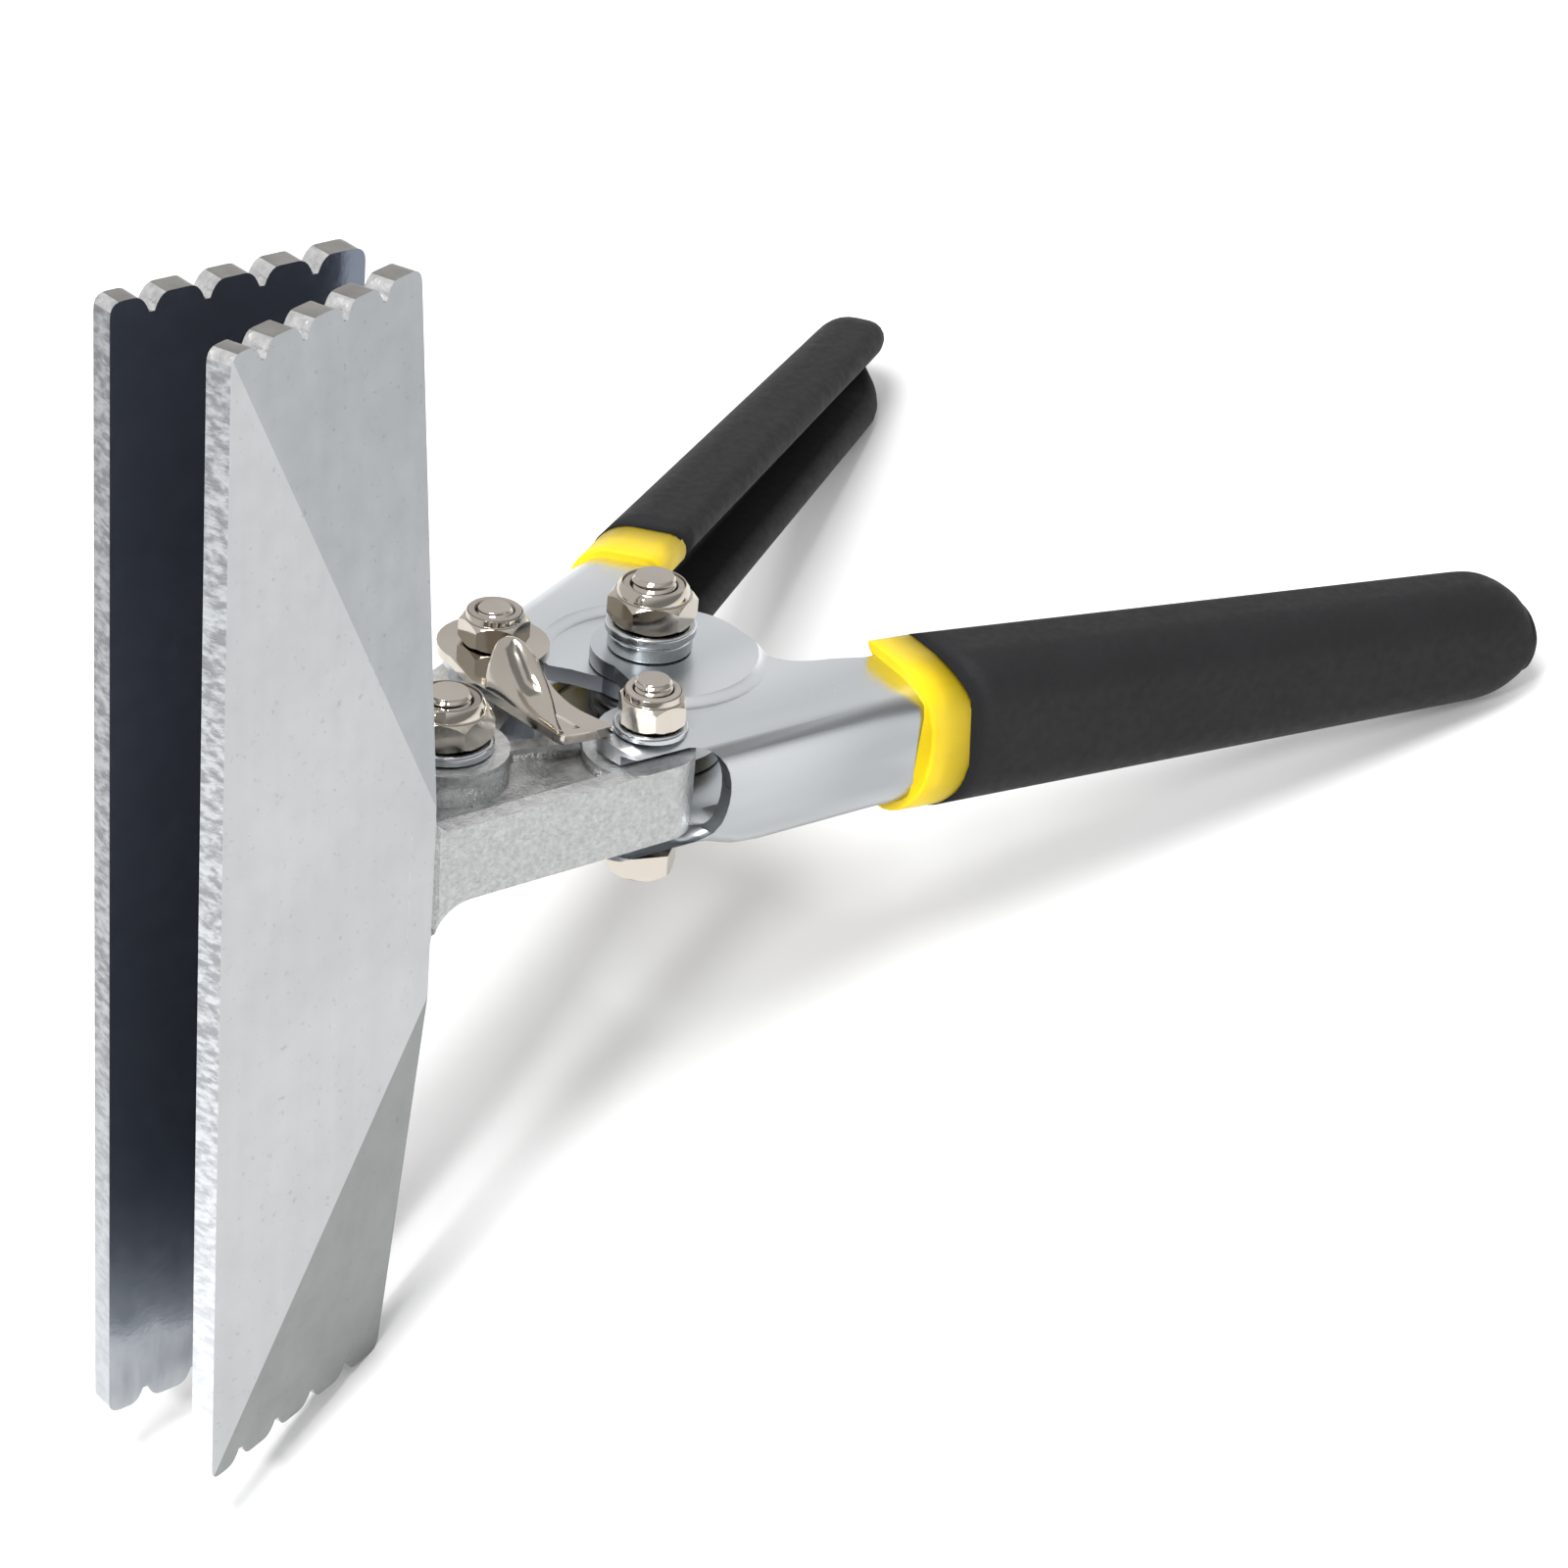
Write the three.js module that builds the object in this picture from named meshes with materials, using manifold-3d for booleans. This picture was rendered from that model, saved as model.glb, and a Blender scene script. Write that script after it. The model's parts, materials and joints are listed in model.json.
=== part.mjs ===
// Hand seamer: two wide forged jaws grip a sheet along its whole edge and fold it, driven through a
// four-bar linkage by two pressed-steel channel handles with dipped grips.
//
// Millimetres. The tool frame has its origin on the jaw pivot, +X to the rear, +Z up along the bolts,
// and the near side at -Y. The last group turns the tool about Y, so that it stands as on a bench, on
// the lower corners of its jaws and the ends of its grips, with its origin under the middle of its box.

import * as THREE from 'three';
import { mergeVertices } from 'three/addons/utils/BufferGeometryUtils.js';
import Module from 'manifold-3d';

const wasm = await Module();
wasm.setup();

// ---------------------------------------------------------------------------------------------
// Driving dimensions
// ---------------------------------------------------------------------------------------------

// Jaws
const jawWidth = 152.4;          // along the bolts: six inches
const jawDepth = 34;             // front edge to back edge
const jawReach = 48.7;           // jaw pivot to front edge
const edgeThickness = 3.3;       // blade thickness at the front edge and at both ends
const ribThickness = 8.8;        // blade thickness where the arm leaves it
const ribUpper = 8;              // the middle facet's upper corner on the back edge
const ribLower = 19;             // the middle facet's lower corner, below the arm
const faceGap = 0.4;             // closed: from each jaw face to the mid-plane
const jawSwing = 8.62;           // degrees that each jaw opens from closed
const bladeCorner = 1.8;         // radius of the blade's corners
const notchCount = 4;
const notchFirst = 5.41;         // front edge to the first depth notch
const notchPitch = 7.23;
const notchDepth = 2;
const notchHalf = 2.3;           // half the notch's width at its mouth
const notchFloor = 0.35;         // half the notch's width at its bottom

// Jaw arms
const armTop = 4.4;              // arm's upper face, over the mid-plane of its height
const armBottom = -6.2;
const armNose = 6;               // radius round the link bolt
const armRootSide = 9.6;         // arm's outer side at the blade's back edge
const armFilletUpper = 2;
const armFilletLower = 5;
const armRim = 2.8;              // width of the raised rim round the arm's pocket
const armPocket = 1.8;           // depth of the pocket
const lugRadius = 8;
const lugHeight = 7;             // mid-plane to the lug's outer face

// Linkage, with the jaws open
const linkBack = 22.58;          // jaw pivot to link bolts, along X
const linkSide = 13.86;          // link bolts to the mid-line
const handlePivotBack = 37.6;      // jaw pivot to handle pivot

// Clearances
const seatGap = 0.2;             // between pieces that are bolted tight
const slideGap = 0.4;            // between pieces that slide past each other
const boltGap = 0.3;             // round a bolt in its hole
const lapGap = 0.25;             // between the handles' lapped lobes

// Handles
const plate = 2.2;               // sheet thickness
const spacer = 0.6;              // shim under each arm, inside the channel
const bendRadius = 4.5;          // outside radius of the channel's bends
const earRadius = 6.8;           // round the link bolts
const lobeRadius = 7.8;          // round the handle pivot, in front
const lobeRear = 9.8;            // rounding of the lobe's rear
const lobeRearBack = 3.2;        // from the handle pivot back to that rounding's centre
const lobeRise = 1.25;           // how far the near handle's lobes are pressed outwards
const nearPressRadius = 15.7;     // foot of the near handle's pressed circle
const farPressRadius = 14.6;
const pressSlope = 1.3;          // width of the pressed circle's sloping rim
const earWall = 20.6;            // channel's outer wall to the mid-line, beside the link bolt
const channelDepth = 10.8;       // outer wall to the flange's free edge
const depthDrop = 1.8;           // how much shallower the channel gets towards the end
const frontSlope = 13.3;         // degrees off the mid-line, in front of the grip
const gripSlope = 21.4;          // degrees off the mid-line, along the grip
const lean = { near: 1.6, far: -1.1 }; // degrees more, as both stand off to the near side
const bendBack = 57;             // jaw pivot to the middle of the handle's bend, along X
const bendHalf = 6;              // half the bend's length
const handleReach = 143;         // jaw pivot to the channel's end, along X
const endRadius = 5.2;           // channel's rounded end, in plan
const topDrop = 2.7;             // how far the upper flange comes down towards the end
const lowDeep = 2;               // how much deeper the channel is behind the ears
const lowRise = 1.6;             // how far the lower flange comes up towards the end
const wallEnd = 7.5;             // how far the wall's rounded end reaches past the flanges' corners
const archFront = 1;             // arch's ends, behind the link bolt
const archDepth = 6.2;             // how far the wall is cut back between them

// Grips
const gripSkin = 1.1;            // coating on each side of the sheet
const gripGap = 0.25;            // between the coating and the sheet
const gripFront = 65.5;          // jaw pivot to the grip's front, along X
const farDip = 2.5;              // how much further forward the far grip was dipped
const bandLength = 6.5;          // yellow band in front of the grip
const dipSlant = 4;              // degrees that the grips' front edges lean back at the top
const dipTurn = 5;               // degrees off square to the mid-line, in plan

// Bolts: M6 in the two pivots, M5 in the links
const m6 = { radius: 3, flats: 10.3, head: 4, nut: 5.3, washer: 6, washerThick: 1.3 };
const m5 = { radius: 2.5, flats: 8.1, head: 3.5, nut: 4.8, washer: 4.85, washerThick: 1 };
const boltProud = 1.1;           // bolt's end past its nut
const collarRadius = 5.6;        // ring under the handle pivot's washer
const collarThick = 2.1;
const bushRadius = 4.8;          // spacer bush on the handle pivot
// Degrees that each joint's nut is turned
const nutTurn = { jaw: -24.6, near: 17.4, far: -16, handle: -14.4 };
const headTurn = -1.8;

// Return spring on the bush
const wireRadius = 0.8;
const springTurns = 3;
const springClear = 0.5;         // between the bush and the coil
const springLeg = 28;
const springSpread = 45;        // degrees off the mid-line that each leg leaves the coil

// Latch
const latchThick = 1.3;
const latchEye = 7.4;            // radius of the plate round the far link bolt
const latchTab = 7.5;            // height of the thumb tab
const tabThick = 1.3;

// ---------------------------------------------------------------------------------------------
// Derived sizes
// ---------------------------------------------------------------------------------------------

const rad = THREE.MathUtils.degToRad;
const handleIn = armTop + slideGap;                       // upper flange, inner face
const handleOut = handleIn + plate;                        // upper flange, outer face
const handleLowIn = armBottom - spacer - 2 * seatGap;
const handleLowOut = handleLowIn - plate;
const lobePress = plate + lapGap - lobeRise;               // how far the far handle's lobes go inwards
const bladeHalf = jawWidth / 2;
const bladeBack = -jawReach + jawDepth;
const nearLink = new THREE.Vector2(linkBack, -linkSide);
const farLink = new THREE.Vector2(linkBack, linkSide);
const handlePivot = new THREE.Vector2(handlePivotBack, 0);
const closedLink = nearLink.clone().rotateAround(new THREE.Vector2(), -rad(jawSwing));
const big = 400;

// ---------------------------------------------------------------------------------------------
// Solids from three.js geometry
// ---------------------------------------------------------------------------------------------

function toSolid(geometry) {
  const bare = geometry.clone();
  bare.deleteAttribute('normal');
  bare.deleteAttribute('uv');
  const merged = mergeVertices(bare, 1e-5);
  return new wasm.Manifold(new wasm.Mesh({
    numProp: 3,
    vertProperties: Float32Array.from(merged.attributes.position.array),
    triVerts: Uint32Array.from(merged.index.array),
  }));
}

function toGeometry(solid) {
  const mesh = solid.getMesh();
  const geometry = new THREE.BufferGeometry();
  geometry.setAttribute('position', new THREE.BufferAttribute(mesh.vertProperties, 3));
  geometry.setIndex(new THREE.BufferAttribute(mesh.triVerts, 1));
  geometry.computeVertexNormals();
  return geometry;
}

const union = (...solids) => solids.reduce((sum, next) => sum.add(next));

// An XY shape, extruded from one height to another
function prism(shape, low, high, segments = 12) {
  const geometry = new THREE.ExtrudeGeometry(shape, {
    depth: high - low, bevelEnabled: false, curveSegments: segments,
  });
  return toSolid(geometry.translate(0, 0, low));
}

// A cylinder along Z; six sides make a hexagon
function cylinder(radius, low, high, centre = new THREE.Vector2(), sides = 32, turn = 0) {
  const geometry = new THREE.CylinderGeometry(radius, radius, high - low, sides);
  geometry.rotateX(Math.PI / 2).rotateZ(turn);
  return toSolid(geometry.translate(centre.x, centre.y, (low + high) / 2));
}

// A body turned round Z from [radius, height] points that go round it once
function turned(profile, centre = new THREE.Vector2(), sides = 32) {
  const points = profile.map(([r, z]) => new THREE.Vector2(r, z));
  points.push(points[0].clone());
  const geometry = new THREE.LatheGeometry(points, sides).rotateX(Math.PI / 2);
  return toSolid(geometry.translate(centre.x, centre.y, 0));
}

// Everything on the outer side of a plane
function beyond(point, normal) {
  const box = new THREE.BoxGeometry(big, big, big).translate(0, 0, big / 2);
  const turn = new THREE.Quaternion().setFromUnitVectors(
    new THREE.Vector3(0, 0, 1), normal.clone().normalize());
  return toSolid(box.applyQuaternion(turn).translate(point.x, point.y, point.z));
}

// A closed skin through rings of equal point counts, each ring going round the same way
function loft(rings) {
  const count = rings[0].length;
  const positions = rings.flat().flatMap((p) => [p.x, p.y, p.z]);
  const index = [];
  for (let i = 0; i + 1 < rings.length; i += 1) {
    for (let j = 0; j < count; j += 1) {
      const a = i * count + j;
      const b = i * count + ((j + 1) % count);
      index.push(a, b, a + count, b, b + count, a + count);
    }
  }
  const last = (rings.length - 1) * count;
  for (let j = 1; j + 1 < count; j += 1) {
    index.push(0, j + 1, j, last, last + j, last + j + 1);
  }
  const geometry = new THREE.BufferGeometry();
  geometry.setAttribute('position', new THREE.Float32BufferAttribute(positions, 3));
  geometry.setIndex(index);
  const solid = toSolid(geometry);
  if (solid.volume() > 0) return solid;
  geometry.setIndex(index.reverse());
  return toSolid(geometry);
}

// The same geometry on the other side of the mid-plane
function mirrored(geometry) {
  const copy = geometry.clone().scale(1, -1, 1);
  copy.setIndex(Array.from(copy.index.array).reverse());
  copy.computeVertexNormals();
  return copy;
}

// ---------------------------------------------------------------------------------------------
// Jaw: blade, arm and lug, drawn closed on the near side and then swung open
// ---------------------------------------------------------------------------------------------

// One end of the blade, seen from its side, from back to front, with its depth notches
function notchedEnd(shape, end) {
  const level = end * bladeHalf;
  const inward = -end;
  const step = end > 0 ? -1 : 1;
  const xs = [];
  for (let i = 0; i < notchCount; i += 1) xs.push(-jawReach + notchFirst + i * notchPitch);
  if (step < 0) xs.reverse();
  for (const x of xs) {
    const floor = level + inward * notchDepth;
    shape.lineTo(x - step * notchHalf, level);
    shape.quadraticCurveTo(x - step * notchHalf * 0.45, level, x - step * notchFloor, floor);
    shape.lineTo(x + step * notchFloor, floor);
    shape.quadraticCurveTo(x + step * notchHalf * 0.45, level, x + step * notchHalf, level);
  }
}

function blade() {
  const front = -jawReach;
  const back = bladeBack;
  const r = bladeCorner;
  const shape = new THREE.Shape();
  shape.moveTo(back, -bladeHalf + r);
  shape.lineTo(back, bladeHalf - r);
  shape.quadraticCurveTo(back, bladeHalf, back - r, bladeHalf);
  notchedEnd(shape, 1);
  shape.lineTo(front + r, bladeHalf);
  shape.quadraticCurveTo(front, bladeHalf, front, bladeHalf - r);
  shape.lineTo(front, -bladeHalf + r);
  shape.quadraticCurveTo(front, -bladeHalf, front + r, -bladeHalf);
  notchedEnd(shape, -1);
  shape.lineTo(back - r, -bladeHalf);
  shape.quadraticCurveTo(back, -bladeHalf, back, -bladeHalf + r);
  const slab = new THREE.ExtrudeGeometry(shape, {
    depth: ribThickness + 1, bevelEnabled: false, curveSegments: 5,
  });
  let solid = toSolid(slab.rotateX(Math.PI / 2).translate(0, -faceGap, 0));

  // Three facets: a middle one that thickens to the rear, and one towards each end
  const rise = ribThickness - edgeThickness;
  const edgeSide = -faceGap - edgeThickness;
  const facets = [
    [new THREE.Vector3(front, edgeSide, 0), new THREE.Vector3(-rise, -jawDepth, 0)],
    [new THREE.Vector3(0, edgeSide, bladeHalf), new THREE.Vector3(0, ribUpper - bladeHalf, rise)],
    [new THREE.Vector3(0, edgeSide, -bladeHalf), new THREE.Vector3(0, ribLower - bladeHalf, -rise)],
  ];
  for (const [point, normal] of facets) solid = solid.subtract(beyond(point, normal));
  return solid;
}

// The arm's outline in plan, `inset` smaller on its outer side and at its nose
function armPlan(inset = 0) {
  const nose = armNose - inset;
  const root = new THREE.Vector2(bladeBack, -armRootSide + inset);
  const innerBack = lugRadius + 0.5;
  const inner = new THREE.Vector2(innerBack, -faceGap - innerBack * Math.tan(rad(jawSwing)) - inset);
  const tangent = (from, side) => {
    const reach = closedLink.clone().sub(from);
    return reach.angle() + side * Math.asin(nose / reach.length()) - side * Math.PI / 2;
  };
  const outerTurn = tangent(root, -1);
  const innerTurn = tangent(inner, 1);
  const facetSlope = (ribThickness - edgeThickness) / jawDepth;
  const rootDepth = 4;
  const shape = new THREE.Shape();
  shape.moveTo(bladeBack - rootDepth, -faceGap - 0.6 - inset);
  shape.lineTo(0, -faceGap - inset);
  shape.lineTo(inner.x, inner.y);
  shape.absarc(closedLink.x, closedLink.y, nose, innerTurn + Math.PI, outerTurn + Math.PI, true);
  shape.lineTo(root.x, root.y);
  shape.lineTo(bladeBack - rootDepth, root.y + rootDepth * facetSlope);
  return shape;
}

// The arm's outline seen from its side, with the fillets that carry it into the blade
function armSide() {
  const x = bladeBack;
  const rear = closedLink.x + armNose + 1;
  const u = armFilletUpper;
  const l = armFilletLower;
  const shape = new THREE.Shape();
  shape.moveTo(x - 4, armTop + u);
  shape.lineTo(x - 4, armBottom - l);
  shape.lineTo(x, armBottom - l);
  shape.absarc(x + l, armBottom - l, l, Math.PI, Math.PI / 2, true);
  shape.lineTo(rear, armBottom);
  shape.lineTo(rear, armTop);
  shape.lineTo(x + u, armTop);
  shape.absarc(x + u, armTop + u, u, -Math.PI / 2, Math.PI, true);
  return shape;
}

function arm() {
  const side = new THREE.ExtrudeGeometry(armSide(), {
    depth: 60, bevelEnabled: false, curveSegments: 8,
  });
  const sideSolid = toSolid(side.rotateX(Math.PI / 2));
  const plan = prism(armPlan(), -bladeHalf / 2, bladeHalf / 2, 16);
  const pocket = prism(armPlan(armRim), armTop - armPocket, armTop + 1, 12);
  const noseLand = cylinder(armNose + 2.5, 0, armTop + 2, closedLink);
  const rootLand = beyond(new THREE.Vector3(bladeBack + 1.5, 0, 0), new THREE.Vector3(-1, 0, 0));
  return plan.intersect(sideSolid).subtract(pocket.subtract(noseLand).subtract(rootLand));
}

// Half-lap: the near jaw's lug is the upper one, and each jaw is cleared for the other's lug
function jaw(near) {
  const half = lapGap / 2;
  const room = lugRadius + slideGap;
  const opposite = near ? cylinder(room, -lugHeight - 5, half) : cylinder(room, -half, lugHeight + 5);
  const lug = near ? cylinder(lugRadius, half, lugHeight) : cylinder(lugRadius, -lugHeight, -half);
  const pivotHole = cylinder(m6.radius + boltGap, -20, 20);
  const linkHole = cylinder(m5.radius + boltGap, -20, 20, closedLink);
  const closed = union(blade(), arm()).subtract(opposite).add(lug).subtract(pivotHole).subtract(linkHole);
  const geometry = toGeometry(closed).rotateZ(rad(jawSwing));
  return near ? geometry : mirrored(geometry);
}

// ---------------------------------------------------------------------------------------------
// Handle channel, drawn on the near side
// ---------------------------------------------------------------------------------------------

// The outer wall's line in plan: its point and direction at each distance along X
function wallAt(x, tilt) {
  const front = Math.tan(rad(frontSlope + tilt));
  const rear = Math.tan(rad(gripSlope + tilt));
  const start = bendBack - bendHalf;
  const t = THREE.MathUtils.clamp((x - start) / (2 * bendHalf), 0, 1);
  const bent = 2 * bendHalf * (front * t + (rear - front) * t * t / 2);
  const past = Math.max(0, x - bendBack - bendHalf);
  const y = -earWall - front * (Math.min(x, start) - linkBack) - bent - rear * past;
  const slope = front + (rear - front) * t;
  const along = new THREE.Vector2(1, -slope).normalize();
  return { point: new THREE.Vector2(x, y), along, inward: new THREE.Vector2(-along.y, along.x) };
}

const wallStations = [10, 26, 28, 30, 32, 35, 46, 51, 54, 57, 60, 63, 70, 80, 100, 120, 143, 165];
const between = (x, from, to) => THREE.MathUtils.clamp((x - from) / (to - from), 0, 1);
const topAt = (x) => handleOut - topDrop * between(x, gripFront, handleReach);
const lowAt = (x) => handleLowOut - lowDeep * THREE.MathUtils.smoothstep(x, 26, 34)
  + lowRise * between(x, gripFront + 5, handleReach);
// The lower flange slopes up from its corner to the ears' level, and is level again along the grip
const footAt = (x) => THREE.MathUtils.lerp(handleLowOut, lowAt(x), between(x, 50, 63));
const depthAt = (x) => channelDepth - depthDrop * between(x, gripFront, handleReach);
const footDepth = 7;

// The channel's envelope, `grow` bigger than the sheet's outer faces all round, open-sided inwards
function envelope(grow, depth, tilt) {
  const rings = wallStations.map((x) => {
    const { point, inward } = wallAt(x, tilt);
    const top = topAt(x) + grow;
    const low = lowAt(x) - grow;
    const r = bendRadius + grow;
    const ring = [];
    const add = (n, z) => {
      const p = point.clone().addScaledVector(inward, n - grow);
      ring.push(new THREE.Vector3(p.x, p.y, z));
    };
    add(depth, top);
    for (let i = 0; i <= 4; i += 1) {
      const a = Math.PI / 2 * i / 4;
      add(r - r * Math.sin(a), top - r + r * Math.cos(a));
    }
    for (let i = 0; i <= 4; i += 1) {
      const a = Math.PI / 2 * i / 4;
      add(r - r * Math.cos(a), low + r - r * Math.sin(a));
    }
    add(footDepth + grow, footAt(x) - grow);
    add(depth, footAt(x) - grow);
    return ring;
  });
  return loft(rings);
}

// The flanges' outline in plan behind `from`, `grow` bigger, with its rounded end
function flangeShape(from, grow, tilt) {
  const at = (x, n) => {
    const station = wallAt(x, tilt);
    return station.point.clone().addScaledVector(station.inward, n);
  };
  const stations = [from, ...wallStations.filter((x) => x > from && x < handleReach), handleReach];
  const middle = depthAt(handleReach) / 2;
  const centre = at(handleReach, middle);
  const heading = wallAt(handleReach, tilt).along.angle();
  const end = new THREE.EllipseCurve(centre.x, centre.y, endRadius + grow, middle + grow,
    -Math.PI / 2, Math.PI / 2, false, heading);
  return new THREE.Shape([
    at(from, -grow - 1),
    ...stations.slice(1).map((x) => at(x, -grow)),
    ...end.getPoints(14).slice(1),
    ...stations.slice(0, -1).reverse().map((x) => at(x, depthAt(x) + grow)),
  ]);
}

// The wall's own rounded end, which reaches past the flanges' corners: a slab beside the outer wall
function wallTongue(grow, tilt) {
  const { point, along } = wallAt(handleReach, tilt);
  const middle = (topAt(handleReach) + lowAt(handleReach)) / 2;
  const half = (topAt(handleReach) - lowAt(handleReach)) / 2 + grow;
  const shape = new THREE.Shape();
  shape.moveTo(-30, -half);
  shape.lineTo(0, -half);
  shape.absellipse(0, 0, wallEnd + grow, half, -Math.PI / 2, Math.PI / 2, false);
  shape.lineTo(-30, half);
  const slab = new THREE.ExtrudeGeometry(shape, {
    depth: plate + 2 * grow + 1, bevelEnabled: false, curveSegments: 14,
  });
  slab.rotateX(Math.PI / 2).translate(0, plate + grow, 0).rotateZ(along.angle());
  return toSolid(slab.translate(point.x, point.y, middle));
}

// The sheet's outline in plan: ear, front edge, lobe and flange
function sheetPlan(tilt) {
  const low = handleLowOut - 8;
  const high = handleOut + 5;
  const rearCentre = handlePivot.clone().add(new THREE.Vector2(lobeRearBack, -1.5));
  const front = handlePivot.x - lobeRadius;
  const rear = rearCentre.x + lobeRear;
  const joint = wallAt(58, tilt).point;
  const web = new THREE.Shape();
  web.moveTo(nearLink.x + earRadius * 0.55, nearLink.y + earRadius * 0.7);
  web.lineTo(front - 1.4, -5.2);
  web.lineTo(front, -1);
  web.lineTo(handlePivot.x, 0);
  web.lineTo(rear, rearCentre.y);
  web.lineTo(rear - 1, -7.5);
  web.quadraticCurveTo(rear - 2.6, -13.5, joint.x - 3, -16.5);
  web.lineTo(joint.x + 2, -20);
  web.lineTo(joint.x, joint.y - 2);
  web.lineTo(nearLink.x, wallAt(nearLink.x, tilt).point.y - 2);
  web.lineTo(nearLink.x, nearLink.y);
  return union(
    cylinder(earRadius, low, high, nearLink),
    cylinder(lobeRadius, low, high, handlePivot, 48),
    cylinder(lobeRear, low, high, rearCentre, 48),
    prism(web, low, high),
    prism(flangeShape(54, 0.001, tilt), low, high),
  );
}

// Moves both flanges' faces, at heights `top` and `low`, outwards by `rise` in a circle round the
// handle pivot
function pressed(body, radius, rise, top, low) {
  const start = Math.sign(rise);
  const foot = radius + pressSlope / Math.abs(rise);
  let solid = body;
  for (const [face, out] of [[top, 1], [low, -1]]) {
    const profile = [
      [1, face - out * start], [foot, face - out * start],
      [radius - pressSlope, face + out * rise], [1, face + out * rise],
    ];
    if (out * start < 0) profile.reverse();
    const stamp = turned(profile, handlePivot, 48);
    solid = rise > 0 ? solid.add(stamp) : solid.subtract(stamp);
  }
  return solid;
}

// The wall's front edge, cut back in an arch between the two ears
function archCut(tilt) {
  const { point, along } = wallAt(linkBack, tilt);
  const top = handleOut - 1;
  const low = handleLowOut + 1;
  const shape = new THREE.Shape();
  shape.moveTo(-15, low);
  shape.lineTo(archFront, low);
  shape.bezierCurveTo(archFront + archDepth * 1.3, low, archFront + archDepth * 1.3, top, archFront, top);
  shape.lineTo(-15, top);
  const cut = new THREE.ExtrudeGeometry(shape, { depth: 20, bevelEnabled: false, curveSegments: 14 });
  cut.rotateX(Math.PI / 2).translate(0, plate + 1.5, 0).rotateZ(along.angle());
  return toSolid(cut.translate(point.x, point.y, 0));
}

function handle(near) {
  const tilt = near ? lean.near : lean.far;
  const pressRadius = near ? nearPressRadius : farPressRadius;
  const rise = near ? lobeRise : -lobePress;
  const bore = near ? m6.radius + boltGap : m6.radius + 2 * boltGap;
  const outside = pressed(envelope(0, 60, tilt), pressRadius, rise, handleOut, handleLowOut);
  const inside = pressed(envelope(-plate, 80, tilt), pressRadius, rise, handleIn, handleLowIn);
  const solid = outside.subtract(inside)
    .intersect(sheetPlan(tilt).add(wallTongue(0.001, tilt)))
    .subtract(archCut(tilt))
    .subtract(cylinder(bore, -30, 30, handlePivot, 32, 0.03))
    .subtract(cylinder(m5.radius + boltGap, -30, 30, nearLink));
  const geometry = toGeometry(solid);
  return near ? geometry : mirrored(geometry);
}

// ---------------------------------------------------------------------------------------------
// Grip and band: a coating that wraps the channel's flanges and wall, inside and out
// ---------------------------------------------------------------------------------------------

// From the slanted plane at `front` to the end, or to the slanted plane at `rear`
function coating(near, front, rear) {
  const tilt = near ? lean.near : lean.far;
  const outer = gripGap + gripSkin;
  const inner = plate + gripGap + gripSkin;
  const low = handleLowOut - 12;
  const high = handleOut + 10;
  const outline = (grow) => prism(flangeShape(gripFront - 25, grow, tilt), low, high)
    .add(wallTongue(grow, tilt));
  const skin = envelope(outer, 70, tilt).subtract(envelope(-inner, 90, tilt)).intersect(outline(outer));
  const pocket = envelope(gripGap, 60, tilt).subtract(envelope(-plate - gripGap, 80, tilt))
    .intersect(outline(gripGap));
  const cut = (x, sign) => {
    const { point } = wallAt(x, tilt);
    const normal = new THREE.Vector3(1, -Math.tan(rad(dipTurn)), -Math.tan(rad(dipSlant)));
    return beyond(new THREE.Vector3(point.x, point.y, 0), normal.multiplyScalar(sign));
  };
  let solid = skin.subtract(pocket).subtract(cut(front, -1));
  if (rear) solid = solid.subtract(cut(rear, 1));
  const geometry = toGeometry(solid);
  return near ? geometry : mirrored(geometry);
}

// ---------------------------------------------------------------------------------------------
// Bolts, nuts, washers and the parts on the handle pivot
// ---------------------------------------------------------------------------------------------

const hexRadius = (flats) => flats / Math.sqrt(3);

// A hexagon with its corners chamfered at one or both ends
function hexagon(flats, low, high, centre, turn, chamferLow, chamferHigh) {
  const r = hexRadius(flats);
  const c = r * 0.13;
  const body = cylinder(r, low, high, centre, 6, rad(turn));
  const round = turned([
    [0, low], [chamferLow ? flats / 2 : r + 1, low], [r + (chamferLow ? 0.02 : 1), low + c],
    [r + (chamferHigh ? 0.02 : 1), high - c], [chamferHigh ? flats / 2 : r + 1, high], [0, high],
  ], centre);
  return body.intersect(round);
}

function bolt(size, centre, headTop, end) {
  const head = hexagon(size.flats, headTop - size.head, headTop, centre, headTurn, true, false);
  const r = size.radius;
  const shank = turned([
    [0, headTop - 1], [r, headTop - 1], [r, end - 0.6], [r - 0.5, end], [0, end],
  ], centre);
  return toGeometry(head.add(shank));
}

// A lock nut: hexagon, domed collar and a groove for its nylon ring
function nut(size, centre, seat, turn) {
  const top = seat + size.nut;
  const hexTop = seat + size.nut * 0.72;
  const collar = size.flats / 2 * 0.94;
  const dome = turned([
    [0, seat + 1], [collar, seat + 1], [collar, hexTop + 0.2], [collar * 0.97, top - 0.5],
    [collar * 0.88, top], [0, top],
  ], centre);
  const ringRoom = cylinder(lockRingOuter(size) + seatGap / 2, hexTop, top + 1, centre);
  const bore = cylinder(size.radius + boltGap / 2, seat - 1, top + 1, centre);
  const body = hexagon(size.flats, seat, hexTop, centre, turn, true, true).add(dome);
  return toGeometry(body.subtract(ringRoom).subtract(bore));
}

const lockRingOuter = (size) => size.radius + 1.05;

function ring(inner, outer, low, high, centre) {
  return turned([[inner, low], [outer, low], [outer, high], [inner, high]], centre);
}

function lockRing(size, centre, seat) {
  const low = seat + size.nut * 0.72 + seatGap / 2;
  const high = seat + size.nut - 0.25;
  return toGeometry(ring(size.radius + boltGap / 2, lockRingOuter(size), low, high, centre));
}

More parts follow.
